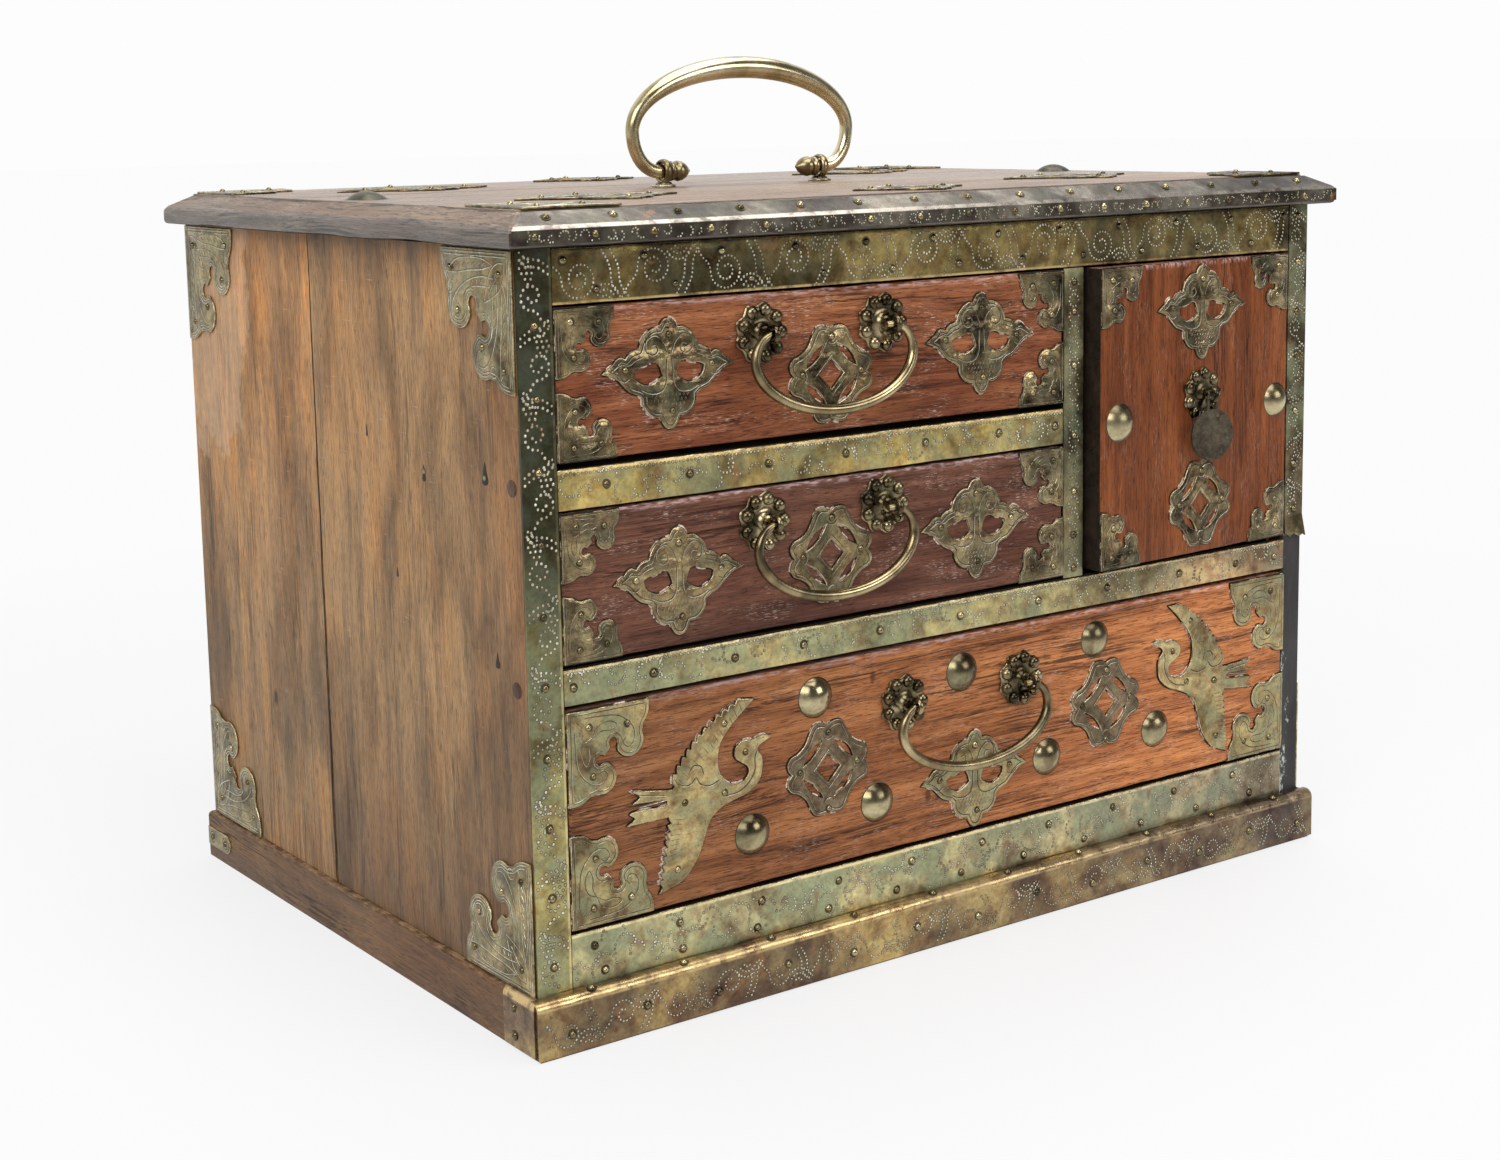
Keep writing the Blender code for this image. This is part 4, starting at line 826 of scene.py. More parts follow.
def bat_strokes(loops):
    curl = [(0.9, 6.4), (2.8, 10.6), (6.2, 13), (9.6, 11.2), (9.8, 7.6), (7, 5.9), (4.8, 7.4), (5.6, 9.6),
            (7.6, 9.2)]
    wing = [(11.4, 5.6), (14.4, 4.7), (17.2, 3.2), (20.6, 3.6), (24.2, 1.6)]
    under = [(17, -1.4), (19.4, -2.6), (22.4, -0.8)]
    stem = [(1.1, 4.5), (1.4, 0), (1.6, -4), (3.6, -7), (8, -7.6), (12.6, -5.8)]
    lines = sweeps(0.8, curl, wing, under, stem)
    lines += [mirrored(line, -1) for line in lines] + inset(loops[0], 1.4)
    return lines + hatch((-9, 9), (-17.5, -8.5), 1.7, 0.5, lambda u, v: abs(u) < 9 + (v + 8.5) * 0.75)


def coin_strokes(loops):
    square = [(7.6, 0), (0, 7.6), (-7.6, 0), (0, -7.6), (7.6, 0)]
    arms = [arc(0, 14.2, 2.6, 200, 340, 8), arc(0, -14.2, 2.6, 20, 160, 8), arc(14.6, 0, 2.6, 110, 250, 8),
            arc(-14.6, 0, 2.6, -70, 70, 8)]
    return inset(loops[0], 1.5) + [square] + arms


def floral_strokes(loop):
    """A leaf out of the corner, and on each arm a scroll, a long leaf with dashes and a double contour."""
    petal = [(4.6, 4.6), (4.9, 9.4), (7.8, 14), (12.6, 16.6), (19, 19)]
    scroll = [(12, 10.2), (19, 9.7), (26, 10.4), (32.6, 12.4), (38.2, 15.6), (41.8, 19.8), (41, 24.2),
              (37.2, 25), (35.6, 21.8), (37.8, 20)]
    inner = [(14.6, 13.2), (20, 13.2), (26, 13.4), (30.8, 14.8), (33.8, 17.6)]
    leaf = [(12, 5.6), (20, 3.5), (30, 3.2), (39, 4.6), (45.6, 8.8, 1), (38, 8.9), (29, 7.8),
            (20, 7.2), (12, 5.6, 1)]
    bud = [(43.8, 11.6), (45, 14.4), (43.2, 16.4), (41, 14.4), (41.8, 12)]
    lines = sweeps(0.9, petal, scroll, inner, leaf, bud)
    lines += [[(18 + 3.4 * i, 4.8 + 0.1 * i), (20 + 3.4 * i, 5.9 + 0.16 * i)] for i in range(7)]
    lines += [[(17 + 3.2 * i, 10.7 + 0.14 * i), (18 + 3.2 * i, 12.3 + 0.14 * i)] for i in range(4)]
    lines += [[(8.4 + 1.9 * i, 11 + 1.1 * i), (10.2 + 1.8 * i, 11.2 + 1.2 * i)] for i in range(4)]
    lines += [swapped(line) for line in lines]
    return lines + inset(loop, 1.3) + inset(loop, 2.5) + [[(8, 8), (15.4, 15.4)]]


def corner_strokes(loop):
    curl = [(10, 4), (20, 4.4), (30, 5.6), (36.4, 9.4), (40.4, 14.8), (40, 20.6), (36.2, 23.4),
            (33.4, 20.6), (35.4, 17.8)]
    leaf = [(15, 15), (18, 9.6), (24.6, 7.8), (30, 10.4), (26, 12.6), (20, 12.4), (15, 15)]
    lines = sweeps(1.2, curl, leaf)
    lines += [[(6 + 2.2 * i, 5.6 + 0.5 * i), (8.4 + 2.6 * i, 8.8 + 0.3 * i)] for i in range(4)]
    lines += [[(43.6 + 0.4 * i, 2.6 + 2.2 * i), (46.6 - 0.2 * i, 4 + 2 * i)] for i in range(4)]
    lines += [swapped(line) for line in lines]
    return lines + inset(loop, 1.9)


def crane_strokes():
    """Short feather lines along the teeth, scallops at the root of the wing, neck and leg lines."""
    lines = []
    for i in range(13):
        t = i / 12
        u, v = -9.4 + 28 * t, 8 + 23.6 * t
        lines.append([(u, v), (u + 2.8 - 1.6 * t, v - 2.5 - 0.5 * t)])
        u, v = -15.8 + 4.2 * t, -29.8 + 23 * t
        lines.append([(u, v), (u + 3 + 1.2 * t, v + 1.1 - 1.8 * t)])
    scallops = [[(-11, 8.6), (-8.6, 5.6), (-4.2, 4.9), (-1.2, 7.4)],
                [(-1.2, 7.4), (0.8, 4.2), (4.8, 3), (9.4, 4.4)],
                [(-4.4, 9.6), (-2, 11.8), (1.2, 10.6), (2, 7.6)]]
    neck = [(12, -2.4), (18, -1.8), (23, 1.4), (25.4, 5.6), (25.4, 9.6), (26.6, 12.6)]
    legs = [[(-15, v), (-21, v + t / 2), (-27, v + t)] for v, t in ((1.4, -0.5), (3, 2.4))]
    return lines + sweeps(1, *scallops, neck) + sweeps(1.2, *legs)


class Shape:
    """A plate's outline and holes, its engraved strokes and the places of its pins."""

    def __init__(self, loops, strokes, spots=()):
        self.loops, self.strokes, self.spots = loops, strokes, spots


OGEE, BUTTERFLY, ROUND_COIN = corner_loop(), bat_loops(), coin_loops()
CORNER = Shape([OGEE], corner_strokes(OGEE), [(12.5, 9.4), (36.4, 10.8), (14.6, 35.4)])
SIDE_CORNER = Shape([OGEE], floral_strokes(OGEE),
                    [(8.4, 8.4), (43.4, 7.3), (38.7, 22.3), (21.8, 34.5), (7, 42)])
BAT = Shape(BUTTERFLY, bat_strokes(BUTTERFLY), [(0, 13), (-18.6, 1.5), (18.4, 1.2), (1, -14.5)])
COIN = Shape(ROUND_COIN, coin_strokes(ROUND_COIN), [(0, 14), (13.8, 0.5), (-13.8, 0.5), (0, -16)])
CRANE = Shape([crane_loop()], crane_strokes(),
              [(-6.5, -1.5), (11.2, -1.1), (11.6, 25.5), (-10.3, -26.1), (21.2, 13)])


def residue(name, shape, places, body, seed):
    """A dark line round the plates, dirt and painted shade at their edges, and pale polish caught along it in
    broken runs, on the wood.
    """
    rng = random.Random(seed)
    bm = bmesh.new()
    for place in places:
        for loop in shape.loops:
            # The dark line round each loop is dirt with a painted contact shadow.
            ribbon_bm(bm, loop + loop[:2], 1.2 / place.col[1].length, place, 0.03, 1)
            at = 0
            while at < len(loop):
                run = rng.randint(2, 7)
                if rng.random() < 0.42:
                    part = [loop[(at + k) % len(loop)] for k in range(run + 1)]
                    ribbon_bm(bm, part, rng.uniform(0.5, 1.5), place, 0.05)
                at += run
    piece(name, recalc(bm), RESIDUE, body, "front_wood", also=(WOOD_DARK,))


def plates(name, shape, places, body, mat, *stands_for, thickness=PLATE_T, lit=False, rim=RIM_BRASS):
    """One piece of like plates, and one of the strokes engraved in them: dark with a painted highlight along
    one side, or lit, painted bright with a painted shade along one side.
    """
    bm, lines = bmesh.new(), bmesh.new()
    for place in places:
        join(bm, sheet_bm(shape.loops, thickness), place)
        for stroke in shape.strokes:
            ribbon_bm(lines, stroke, 0.38 if lit else 0.55, place, thickness + 0.05)
            # The offset line is a painted highlight on the groove's lit side, or painted shade beside a lit
            # stroke.
            ribbon_bm(lines, [(u + 0.34, v - 0.34) for u, v in stroke], 0.3, place, thickness + 0.04, 1)
    piece(name, bm, mat, body, "plate_brass", *stands_for, soft=50, also=(rim,))
    tones = (PUNCH, ENGRAVED) if lit else (ENGRAVED, PUNCH)
    piece(f"{name}_engraving", recalc(lines), tones[0], body, "plate_brass", also=tones[1:])


def pin_places(shape, places, lift=PLATE_T - 0.1):
    """Places of the pins of plates, free of the plates' scale and mirroring."""
    out = []
    for place in places:
        basis = place.to_3x3()
        right, up = basis.col[0].normalized(), basis.col[1].normalized()
        if right.cross(up).dot(basis.col[2]) < 0:
            right = -right
        for u, v in shape.spots:
            out.append(frame_at(place @ Vector((u, v, lift)), right, up, right.cross(up)))
    return out


def plate_set(body, rows, seed):
    """Plates with their residue, row by row; gives the places of their pins."""
    nails = []
    for i, (kind, noun, shape, places, mat, rim) in enumerate(rows):
        plates(f"{body}_{kind}_{noun}", shape, places, body, mat, rim=rim)
        residue(f"{body}_{kind}_residue", shape, places, body, seed + i)
        nails += pin_places(shape, places)
    return nails


def corner_places(x, z, size, y=Y_FRONT):
    """The four corners of a front, for mounts of one size."""
    scale = size / 50
    return [front_at(cx, cz, y) @ stretch(sx * scale, sz * scale) for cx, sx in ((x[0], 1), (x[1], -1))
            for cz, sz in ((z[0] + 0.5, 1), (z[1] - 0.5, -1))]


def domes(name, places, body, mat=DOME_BRASS, height=4.1):
    """Domed nails on a dark ring of dirt and painted shadow; places holds pairs of a matrix and a size."""
    bm = bmesh.new()
    for place, size in places:
        skirt = [(7.9 * size, -0.1), (7.8 * size, 0.06)]
        join(bm, nail_bm(7.5 * size, height * size, skirt, 9, 44), place)
    piece(name, bm, mat, body, "plate_brass", soft=70, also=(ENGRAVED,))


# Fronts


DOMES = [(-105.7, 63.2, 1.03), (-75.2, 110.7, 1.03), (-45.5, 63.7, 1.03), (-1.5, 108.8, 1.03),
         (44.7, 65.5, 1), (71.8, 111.1, 1), (107.7, 66.2, 1.03)]
SIDES = (("left", -1), ("right", 1))


def rosette_bm(x, y, z, proud=8.5):
    """Flower rosette with nine beads, a fluted middle and an eye post."""
    bm = bmesh.new()
    place = front_at(x, z, y)
    petals = 9
    flat = min(1, (proud - 2) / 6)

    def flower(a, radius):
        return radius * (1 + 0.07 * math.cos(petals * a)) if radius > 7 else radius
    plate = [(0, 0), (10.7, 0), (10.9, 0.5), (10.2, 1.2), (7.6, 1.5), (6.2, 1.1), (4.6, 1.3), (3.2, 2),
             (2.6, 3.4), (1.9, 3.6), (1.7, proud - 3.3), (0, proud - 3.1)]
    plate = [(r, h if h < 3.3 or r < 1.8 else min(h, proud - 3.4)) for r, h in plate]
    join(bm, turned_bm(plate, 72, place, flower))
    bead = [(0, 0), (2.35, 0), (2.5, 0.7), (2.2, 1.6), (1.4, 2.25), (0, 2.55)]
    for u, v in circle(0, 0, 8.7, petals):
        join(bm, turned_bm([(r, h * flat) for r, h in bead], 16, place @ move(u, v, 0.9)))
    join(bm, eye_bm(x, y - proud, z, 2.9, 0.75, 1.5, 24, 10))
    return bm


def bail_bm(x, z, half_span, drop, wide):
    """A drooping bail between two eyes, thicker and more forward below."""
    shoulder, steps = 9.6, 22
    half = [(half_span - 4.2, 0), (half_span - 1.6, 0), (half_span + 0.4, -0.1)]
    half += [(max(u, half_span + 1.2), v) for u, v in arc(wide - shoulder, -shoulder, shoulder, 75, 10, 6)]
    for i in range(steps + 1):
        a = math.pi / 2 * i / steps
        half.append((wide * math.cos(a), -shoulder - (drop - shoulder) * math.sin(a)))
    path = mirrored(half[:-1], -1) + half[::-1]
    y = Y_FRONT - GAP - 8.5
    points = [(x + u, y - 2.7 * (v / drop) ** 2, z + v) for u, v in path]
    radii = [1.5 + 0.6 * min(1, max(0, -v / 14)) for u, v in path]
    radii[0] = radii[-1] = 1.1
    return tube_bm(points, radii, 16)


def drawer(name, x, z, timber, plate, corner, bats, coins, pull):
    """A drawer's front; pull is the place of its bail, half the span of its eyes, its drop and half width."""
    low = name == "drawer_3"
    rim, coin = (RIM_BRASS, PLATE_BROWN) if low else (RIM_DARK, plate)
    board = board_bm(x, (Y_FRONT, Y_FRONT + 12), z, ease=1.4, seed=z[0])
    piece(f"{name}_board", board, timber, name, "front_wood", f"{name}_front", soft=40, also=(WOOD_DARK,))
    nails = plate_set(name, (
        ("corner", "mounts", CORNER, corner_places(x, z, corner), plate, RIM_BRASS),
        ("butterfly", "plates", BAT, [front_at(*at) for at in bats], plate, rim),
        ("coin", "plates", COIN, [front_at(*at) for at in coins], coin, RIM_DARK)), 61)
    if low:
        domes("drawer_3_domes", [(front_at(u, v), size) for u, v, size in DOMES], name)
        for side, u, v, turn, flip in (("left", -130, 83, 0, 1), ("right", 137, 84, 6, -1)):
            place = front_at(u, v, Y_FRONT - GAP, turn, flip)
            plates(f"{side}_crane_plate", CRANE, [place], name, PLATE_CRANE, f"{side}_crane", thickness=0.8)
            residue(f"{side}_crane_residue", CRANE, [front_at(u, v, Y_FRONT, turn, flip)], name, 64)
            nails += pin_places(CRANE, [place], 0.7)
    pins(f"{name}_pins", nails, name)
    for side, sign in SIDES:
        rose = rosette_bm(pull[0] + sign * pull[2], Y_FRONT - GAP, pull[1])
        node = f"{name}_{side}_rosette"
        piece(f"{node}_dressed", rose, ROSE_BRASS, name, "plate_brass", node, soft=45)
    bail = bail_bm(*pull)
    piece(f"{name}_bail_dressed", bail, BAIL_BRASS, f"{name}_pull", "bright_brass", f"{name}_bail", soft=80)


drawer("drawer_1", (-185.4, 53.4), (212, 266), WOOD_1, PLATE_DARK, 24, bats=[(-138.8, 241), (8.7, 240.8)],
       coins=[(-65.8, 233.8)], pull=(-70, 251.5, 28.5, 29.6, 36.8))
drawer("drawer_2", (-185.4, 53.4), (140.3, 194.2), WOOD_2, PLATE_MID, 24,
       bats=[(-136.5, 165.5), (5.8, 167.3)], coins=[(-66.8, 165.2)], pull=(-70, 181.5, 28.5, 29.6, 36.8))
drawer("drawer_3", (-185.4, 187.9), (43.2, 123.8), WOOD_3, PLATE_GREEN, 34.5, bats=[(4.7, 65)],
       coins=[(-69.7, 82.3), (77.9, 83)], pull=(-1.5, 101.5, 30.7, 27.8, 38.1))


# Door, drawn closed and then turned about its pivot to its rest place


AJAR = move(PIVOT_X, PIVOT_Y) @ rotate(3.2, "Z") @ move(-PIVOT_X, -PIVOT_Y)


def on_door(x, z):
    return AJAR @ front_at(x, z, DOOR_Y)


def door_board(x, z):
    """Door panel, round about its pivot, with the two pins it turns on."""
    board = board_bm(x, (DOOR_Y, DOOR_Y + 11), z, seed=3)
    radius = 7.3
    for vert in board.verts:
        out = Vector((vert.co.x - PIVOT_X, vert.co.y - PIVOT_Y))
        if out.x > 0 and out.length > radius:
            if out.y < 0:
                vert.co.x = PIVOT_X + min(out.x, math.sqrt(max(0, radius ** 2 - out.y ** 2)))
            else:
                vert.co.xy = Vector((PIVOT_X, PIVOT_Y)) + out.normalized() * radius
    for low, high in ((z[0] - 4, z[0] + 1), (z[1] - 1, z[1] + 4)):
        join(board, turned_bm([(0, low), (0.9, low), (0.9, high), (0, high)], 12, move(PIVOT_X, PIVOT_Y)))
    return board


def disc_bm(x, y, z):
    """Round pendant, turned a little about its stem, on a bent wire."""
    edge = [(0, 0), (10.4, 0), (11, 0.4), (11, 1.2), (10.6, 1.55), (9.8, 1.6), (0, 1.45)]
    disc = turned_bm(edge, 56, move(x, y) @ rotate(-11, "Z") @ front_at(0, z - 17, 0.4))
    arm = 0.75 * 1.5 + 1.4
    half = [(arm, z - 7.4), (arm, z - 4), (arm, z - 1.4), (arm - 0.3, z - 0.5), (arm - 1, z)]
    path = [(x - u, y, w) for u, w in half] + [(x + u, y, w) for u, w in reversed(half)]
    join(disc, tube_bm(path, [0.7] * len(path), 10))
    return disc


def door():
    x, z = (67.5, 187.9), (141, 266.1)
    board = transformed(door_board(x, z), AJAR)
    piece("door_board", board, WOOD_DOOR, "door", "front_wood", "door_panel", soft=40, also=(WOOD_DARK,))
    corners = [AJAR @ place for place in corner_places((x[0], 186.2), z, 24, DOOR_Y)]
    nails = plate_set("door", (
        ("corner", "mounts", CORNER, corners, PLATE_DARK, RIM_BRASS),
        ("butterfly", "plate", BAT, [on_door(129.5, 245.5)], PLATE_DARK, RIM_BRASS),
        ("coin", "plate", COIN, [on_door(129.5, 162.5)], PLATE_DARK, RIM_BRASS)), 65)
    pins("door_pins", nails, "door", seed=9)
    domes("door_domes", [(on_door(79, 202), 1.06), (on_door(179.5, 202.3), 0.97)], "door")
    rose = transformed(rosette_bm(129.5, DOOR_Y - GAP, 209.5, 6), AJAR)
    piece("door_rosette_dressed", rose, ROSE_BRASS, "door", "plate_brass", "door_rosette", soft=45)
    rng = random.Random(4)
    crack = [(144 + 0.5 * math.sin(i * 0.7) + rng.uniform(-0.15, 0.15) - 0.02 * i, 265.8 - i * 2.2)
             for i in range(25)]
    open_lines("door_crack", [(crack, on_door(0, 0))], 0.6, 0.03, "door", "front_wood")
    disc = transformed(disc_bm(129.5, DOOR_Y - GAP - 6, 209.5), AJAR)
    piece("disc_pendant_dressed", disc, DISC_METAL, "door_pull", "plate_brass", "disc_pendant", soft=40)


door()


# Lid


def lid_board():
    """Lid board with its rounded edge and bevel; the arris between them is worn wavy."""
    levels = [(1.2, 287.25, 1.1), (0.35, 287.7, 1.1), (0, 288.6, 1.1), (0, 292.6, 1.4), (0.4, 293.6, 1.8),
              (1.6, 294.95, 2.2), (9.8, 299.3, 2.2), (10.1, 299.8, 2.2), (10.6, LID_TOP, 2.2)]
    rings = []
    for inward, z, below in levels:
        x, y_low, y_high = LID_X - inward, LID_Y_LOW + inward + below, LID_Y_HIGH - inward
        corners = ((-x, y_low), (x, y_low), (x, y_high), (-x, y_high))
        ring = []
        for k, cuts in enumerate((60, 44, 60, 44)):
            (ax, ay), (bx, by) = corners[k], corners[(k + 1) % 4]
            for i in range(cuts):
                t = i / cuts
                px, py = ax + (bx - ax) * t, ay + (by - ay) * t
                free = min(1, max(0, (py - LID_Y_LOW - 14) / 20)) if z < 299.5 else 0
                broad = noise.noise(Vector((px * 0.011, py * 0.019, 5)))
                wear = free * (1.1 * broad + 0.35 * noise.noise(Vector((px * 0.07, py * 0.07, 3))))
                drop = max(0, wear) if z < 290 else wear
                narrow = 1 - free * 0.006 * abs(broad) * (abs(px) > x - 1)
                ring.append((px * narrow, py, z + drop))
        rings.append(ring)
    return skin(rings, low_step=-1)


def lid():
    top = piece("lid_top", lid_board(), WOOD_LID, "case", "edge_wood", "lid_board", soft=30,
                also=(LID_EDGE, LID_BEVEL, WOOD_DARK))
    for face in top.data.polygons:
        upward = face.normal.z
        face.material_index = 3 if upward < -0.5 else 1 if abs(upward) < 0.75 else 2 if upward < 0.95 else 0
    bats = [flat_at(x, y, s, 180 if y > 0 else 0) for x, y, s in (
        (-122, -73, 1.3), (122, -73, 1.3), (-119, 84, 1.3), (121, 80, 1.3), (-5, -117, 1),
        (-8, 122, 1))]
    plates("lid_butterfly_plates", BAT, bats, "case", PLATE_DARK, rim=PLATE_DARK)
    x, y_low, y_high = LID_X - 11.3, LID_Y_LOW + 11.3, LID_Y_HIGH - 11.3
    corners = [flat_at(px, py, 0.8, turn) for turn, px, py in (
        (0, -x, y_low), (90, x, y_low), (180, x, y_high), (270, -x, y_high))]
    plates("lid_corner_mounts", CORNER, corners, "case", PLATE_DARK, rim=PLATE_DARK)
    foot = Shape([arc(0, 0, 5.2, 0, 348, 29)], [arc(0, 0, 4.2, 0, 360, 30)])
    plates("handle_foot_plates", foot, [flat_at(sign * 42, 2) for side, sign in SIDES], "case", PLATE_DARK)
    pins("lid_pins", pin_places(BAT, bats) + pin_places(CORNER, corners), "case", seed=21)
    domes("lid_domes", [(flat_at(sign * 183, 0), 1.1) for side, sign in SIDES], "case", DOME_DARK, 3)
    seam = [(-196 + i * 14, 40 + 0.25 * math.sin(i * 1.7)) for i in range(29)]
    open_lines("lid_seam", [(seam, Matrix())], 0.7, LID_TOP + 0.03, "case", "edge_wood")


lid()


# Carry handle and its posts


def handle():
    y, eye_z, shoulder_z = 2, 306.6, 323.5
    half = [(37.5, eye_z, 2.9), (43, eye_z, 2.9)]
    for i in range(1, 9):
        a = math.pi / 2 * i / 9
        half.append((44.5 + 12.9 * math.sin(a), shoulder_z - 16.9 * math.cos(a), 2.9))
    steps = 24
    for i in range(steps + 1):
        a = math.pi / 2 * i / steps
        half.append((57.4 * math.cos(a), shoulder_z + 26.85 * math.sin(a), 2.9 + 1.8 * math.sin(a) ** 1.5))
    path = mirrored(half[:-1], -1) + half[::-1]
    bm = tube_bm([(u, y, w) for u, w, r in path], [r for u, w, r in path], 28)
    acorn = [(0, -1), (2.6, -1), (4, -0.4), (4.3, 0.4), (4, 1.4), (3.2, 2), (3.3, 2.4), (4.2, 3.2),
             (4.4, 4.2), (4.1, 5.8), (3.2, 7.6), (1.9, 9), (0.9, 9.7), (0.6, 10.3), (0, 10.4)]
    for side, sign in SIDES:
        end = turned_bm(acorn, 28, move(sign * 39, y, eye_z) @ rotate(-90 * sign, "Y"))
        for face in end.faces:
            face.material_index = 1
        join(bm, end)
    piece("carry_handle_dressed", bm, HANDLE_BRASS, "handle", "bright_brass", "carry_handle", soft=60,
          also=(POST_BRASS,))
    low = LID_TOP + 1.2
    foot = [(0, low), (3.6, low), (3.7, low + 0.3), (3.3, low + 0.8), (2.4, low + 1), (0, low + 1)]
    for side, sign in SIDES:
        post = eye_bm(sign * 42, y, eye_z, 4.4, 0.9, 2, 36, 12)
        join(post, turned_bm(foot, 28, move(sign * 42, y)))
        node = f"handle_post_{side}"
        piece(f"{node}_dressed", post, POST_BRASS, "case", "bright_brass", node, soft=50)


handle()


# Case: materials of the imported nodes, strips, side corner mounts, pins and punched ornament


NODE_MATS = {
    "base_board": WOOD_PLINTH, "back_panel": BACK, "left_side_front_board": SIDE_A,
    "left_side_back_board": SIDE_B, "right_side_board": SIDE_C, "right_stile_strip": BRASS_STILE_R,
    "left_stile_strip": BRASS_STILE, "lid_front_strip": BRASS_LID,
    **dict.fromkeys(("bottom_board", "lower_shelf", "upper_shelf", "top_rail", "divider"), WOOD_DARK),
}
for node, obj in frame["nodes"].items():
    mat = NODE_MATS.get(node)
    if mat is None and any(word in node for word in ("left_side", "right_side", "_back", "_bottom")):
        mat = WOOD_INSIDE
    if mat is not None:
        obj.data.materials.clear()
        obj.data.materials.append(mat.mat)


def strip(node, mat):
    """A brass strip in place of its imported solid, with rounded and slightly dented edges."""
    low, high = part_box(node)
    spans = [(low[i] / MM, high[i] / MM) for i in range(3)]
    bm = board_bm(*spans, ease=0.38, wobble=0.2, seed=spans[2][0], step=4)
    is_rail = spans[0][1] - spans[0][0] > 100
    # Upward faces of the rails take the brighter rim brass: a painted highlight where the folded top edge
    # catches the light.
    for face in bm.faces:
        face.material_index = int(is_rail and face.normal.z > 0.2 and face.normal.y < 0.9)
    piece(f"{node}_dressed", bm, mat, "case", "aged_brass", node, soft=50, also=(RIM_BRASS,))


for node, mat in (("top_rail", BRASS_TOP), ("upper_rail", BRASS_RAIL), ("lower_rail", BRASS_RAIL_2),
                  ("bottom_rail", BRASS_LOW), ("divider", BRASS_DIVIDER)):
    strip(f"{node}_strip", mat)


def fold_bm(section, start, end, cuts, place, seed):
    """A folded sheet: a closed section (u, v), outer points first, swept along w and slightly dented."""
    rings = []
    for i in range(cuts + 1):
        w = start + (end - start) * i / cuts
        ring = []
        for k, (u, v) in enumerate(section):
            dent = 0.22 * abs(noise.noise(Vector((w * 0.06, seed, v * 0.09)))) if k < len(section) // 2 else 0
            ring.append(place(u + dent, v - dent, w))
        rings.append(ring)
    return skin(rings)


def plinth_brass():
    """Brass folded over the plinth's front edge and, in two flaps, round its ends."""
    low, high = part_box("base_front_strip")
    front, reach, top = low[1] / MM, high[0] / MM, high[2] / MM
    sheet = 0.8
    levels = [0.9, 5.5, 10, 14.5]

    def section(face, radius, inner):
        fold = (face + radius, top - radius)
        outer = [(face, level) for level in levels] + arc(*fold, radius, 180, 90, 8) + [(inner, top)]
        back = [(inner, top - sheet)] + arc(*fold, radius - sheet, 90, 180, 8)
        return outer + back + [(face + sheet, level) for level in reversed(levels)]
    bm = fold_bm(section(front, 3.5, Y_FRONT - 0.6), -reach, reach, 100, lambda u, v, w: (w, u, v), 1)
    for side, sign in SIDES:
        end = section(-reach, 3, -SIDE_X - 0.5)
        join(bm, fold_bm(end, front + 3.4, front + 25, 6, lambda u, v, w: (-sign * u, w, v), 2 + sign))
    piece("base_front_strip_dressed", recalc(bm), BRASS_BASE, "case", "aged_brass", "base_front_strip",
          soft=50)


plinth_brass()


def left_at(y, z):
    """On the left side: local X to the front, local Y up, local Z outwards."""
    return frame_at((-SIDE_X, y, z), (0, -1, 0), (0, 0, 1), (-1, 0, 0))


def left_side_marks():
    """Seam between the boards, wood plugs, holes with a nail left in two, and the strap on the plinth."""
    seam = [(0.35 * math.sin(i * 0.9) * (i % 3 > 0), 22.5 + i * 6.6) for i in range(41)]
    open_lines("left_side_seam", [(seam, left_at(19.5, 0))], 0.95, 0.06, "case", "side_wood")
    plugs = bmesh.new()
    for y, z, radius in ((-136.1, 204.2, 3.1), (-135, 132.4, 3)):
        head = [(0, -0.1), (radius, -0.1), (radius, 0.12), (radius - 0.35, 0.3), (0, 0.22)]
        join(plugs, turned_bm(head, 24, left_at(y, z)))
    piece("left_side_plugs", plugs, PLUG, "case", "side_wood", soft=40)
    # The holes are flat dark sheets: their darkness is painted shade in place of depth.
    holes = bmesh.new()
    for y, z, wide, high in ((-71.6, 201.7, 3, 6.5), (-117.4, 206.8, 4.6, 8.4), (-26, 213, 1.6, 5),
                             (-122, 140.5, 3.4, 6), (-47, 161, 1.8, 4)):
        drop = [(-wide * 0.28, high * 0.1), (0, high * 0.55), (wide * 0.3, high * 0.1),
                (wide * 0.5, -high * 0.3), (0, -high * 0.45), (-wide * 0.45, -high * 0.34)]
        join(holes, sheet_bm([flow(drop, 0.8)], 0.5, 0.1), left_at(y, z) @ move(0, 0, -0.42))
    piece("left_side_holes", holes, WOOD_DARK, "case", "side_wood")
    tips = [left_at(y, z) for y, z in ((-71.6, 202.6), (-117, 205.6))]
    pins("left_side_nails", tips, "case", radius=0.9, height=0.5, seed=81)
    half = [(0, 4.2, 1), (19, 4.2), (22, 3.6, 1), (23.4, 1.8)]
    outline = flow([(0, -4.2, 1), *half, (24.4, 0), *mirrored(reversed(half[1:]), 1, -1)], 2)
    strap = Shape([outline], [arc(u, 0, 2.6, 0, 360, 12) for u in (5, 18.6)])
    place = move(-2.5, 0) @ left_at(146.5, 9.6)
    plates("plinth_strap", strap, [place], "case", PLATE_SIDE, thickness=0.6)
    pins("plinth_strap_pins", [place @ move(u, 0, 0.5) for u in (5, 18.6)], "case", seed=82)


left_side_marks()


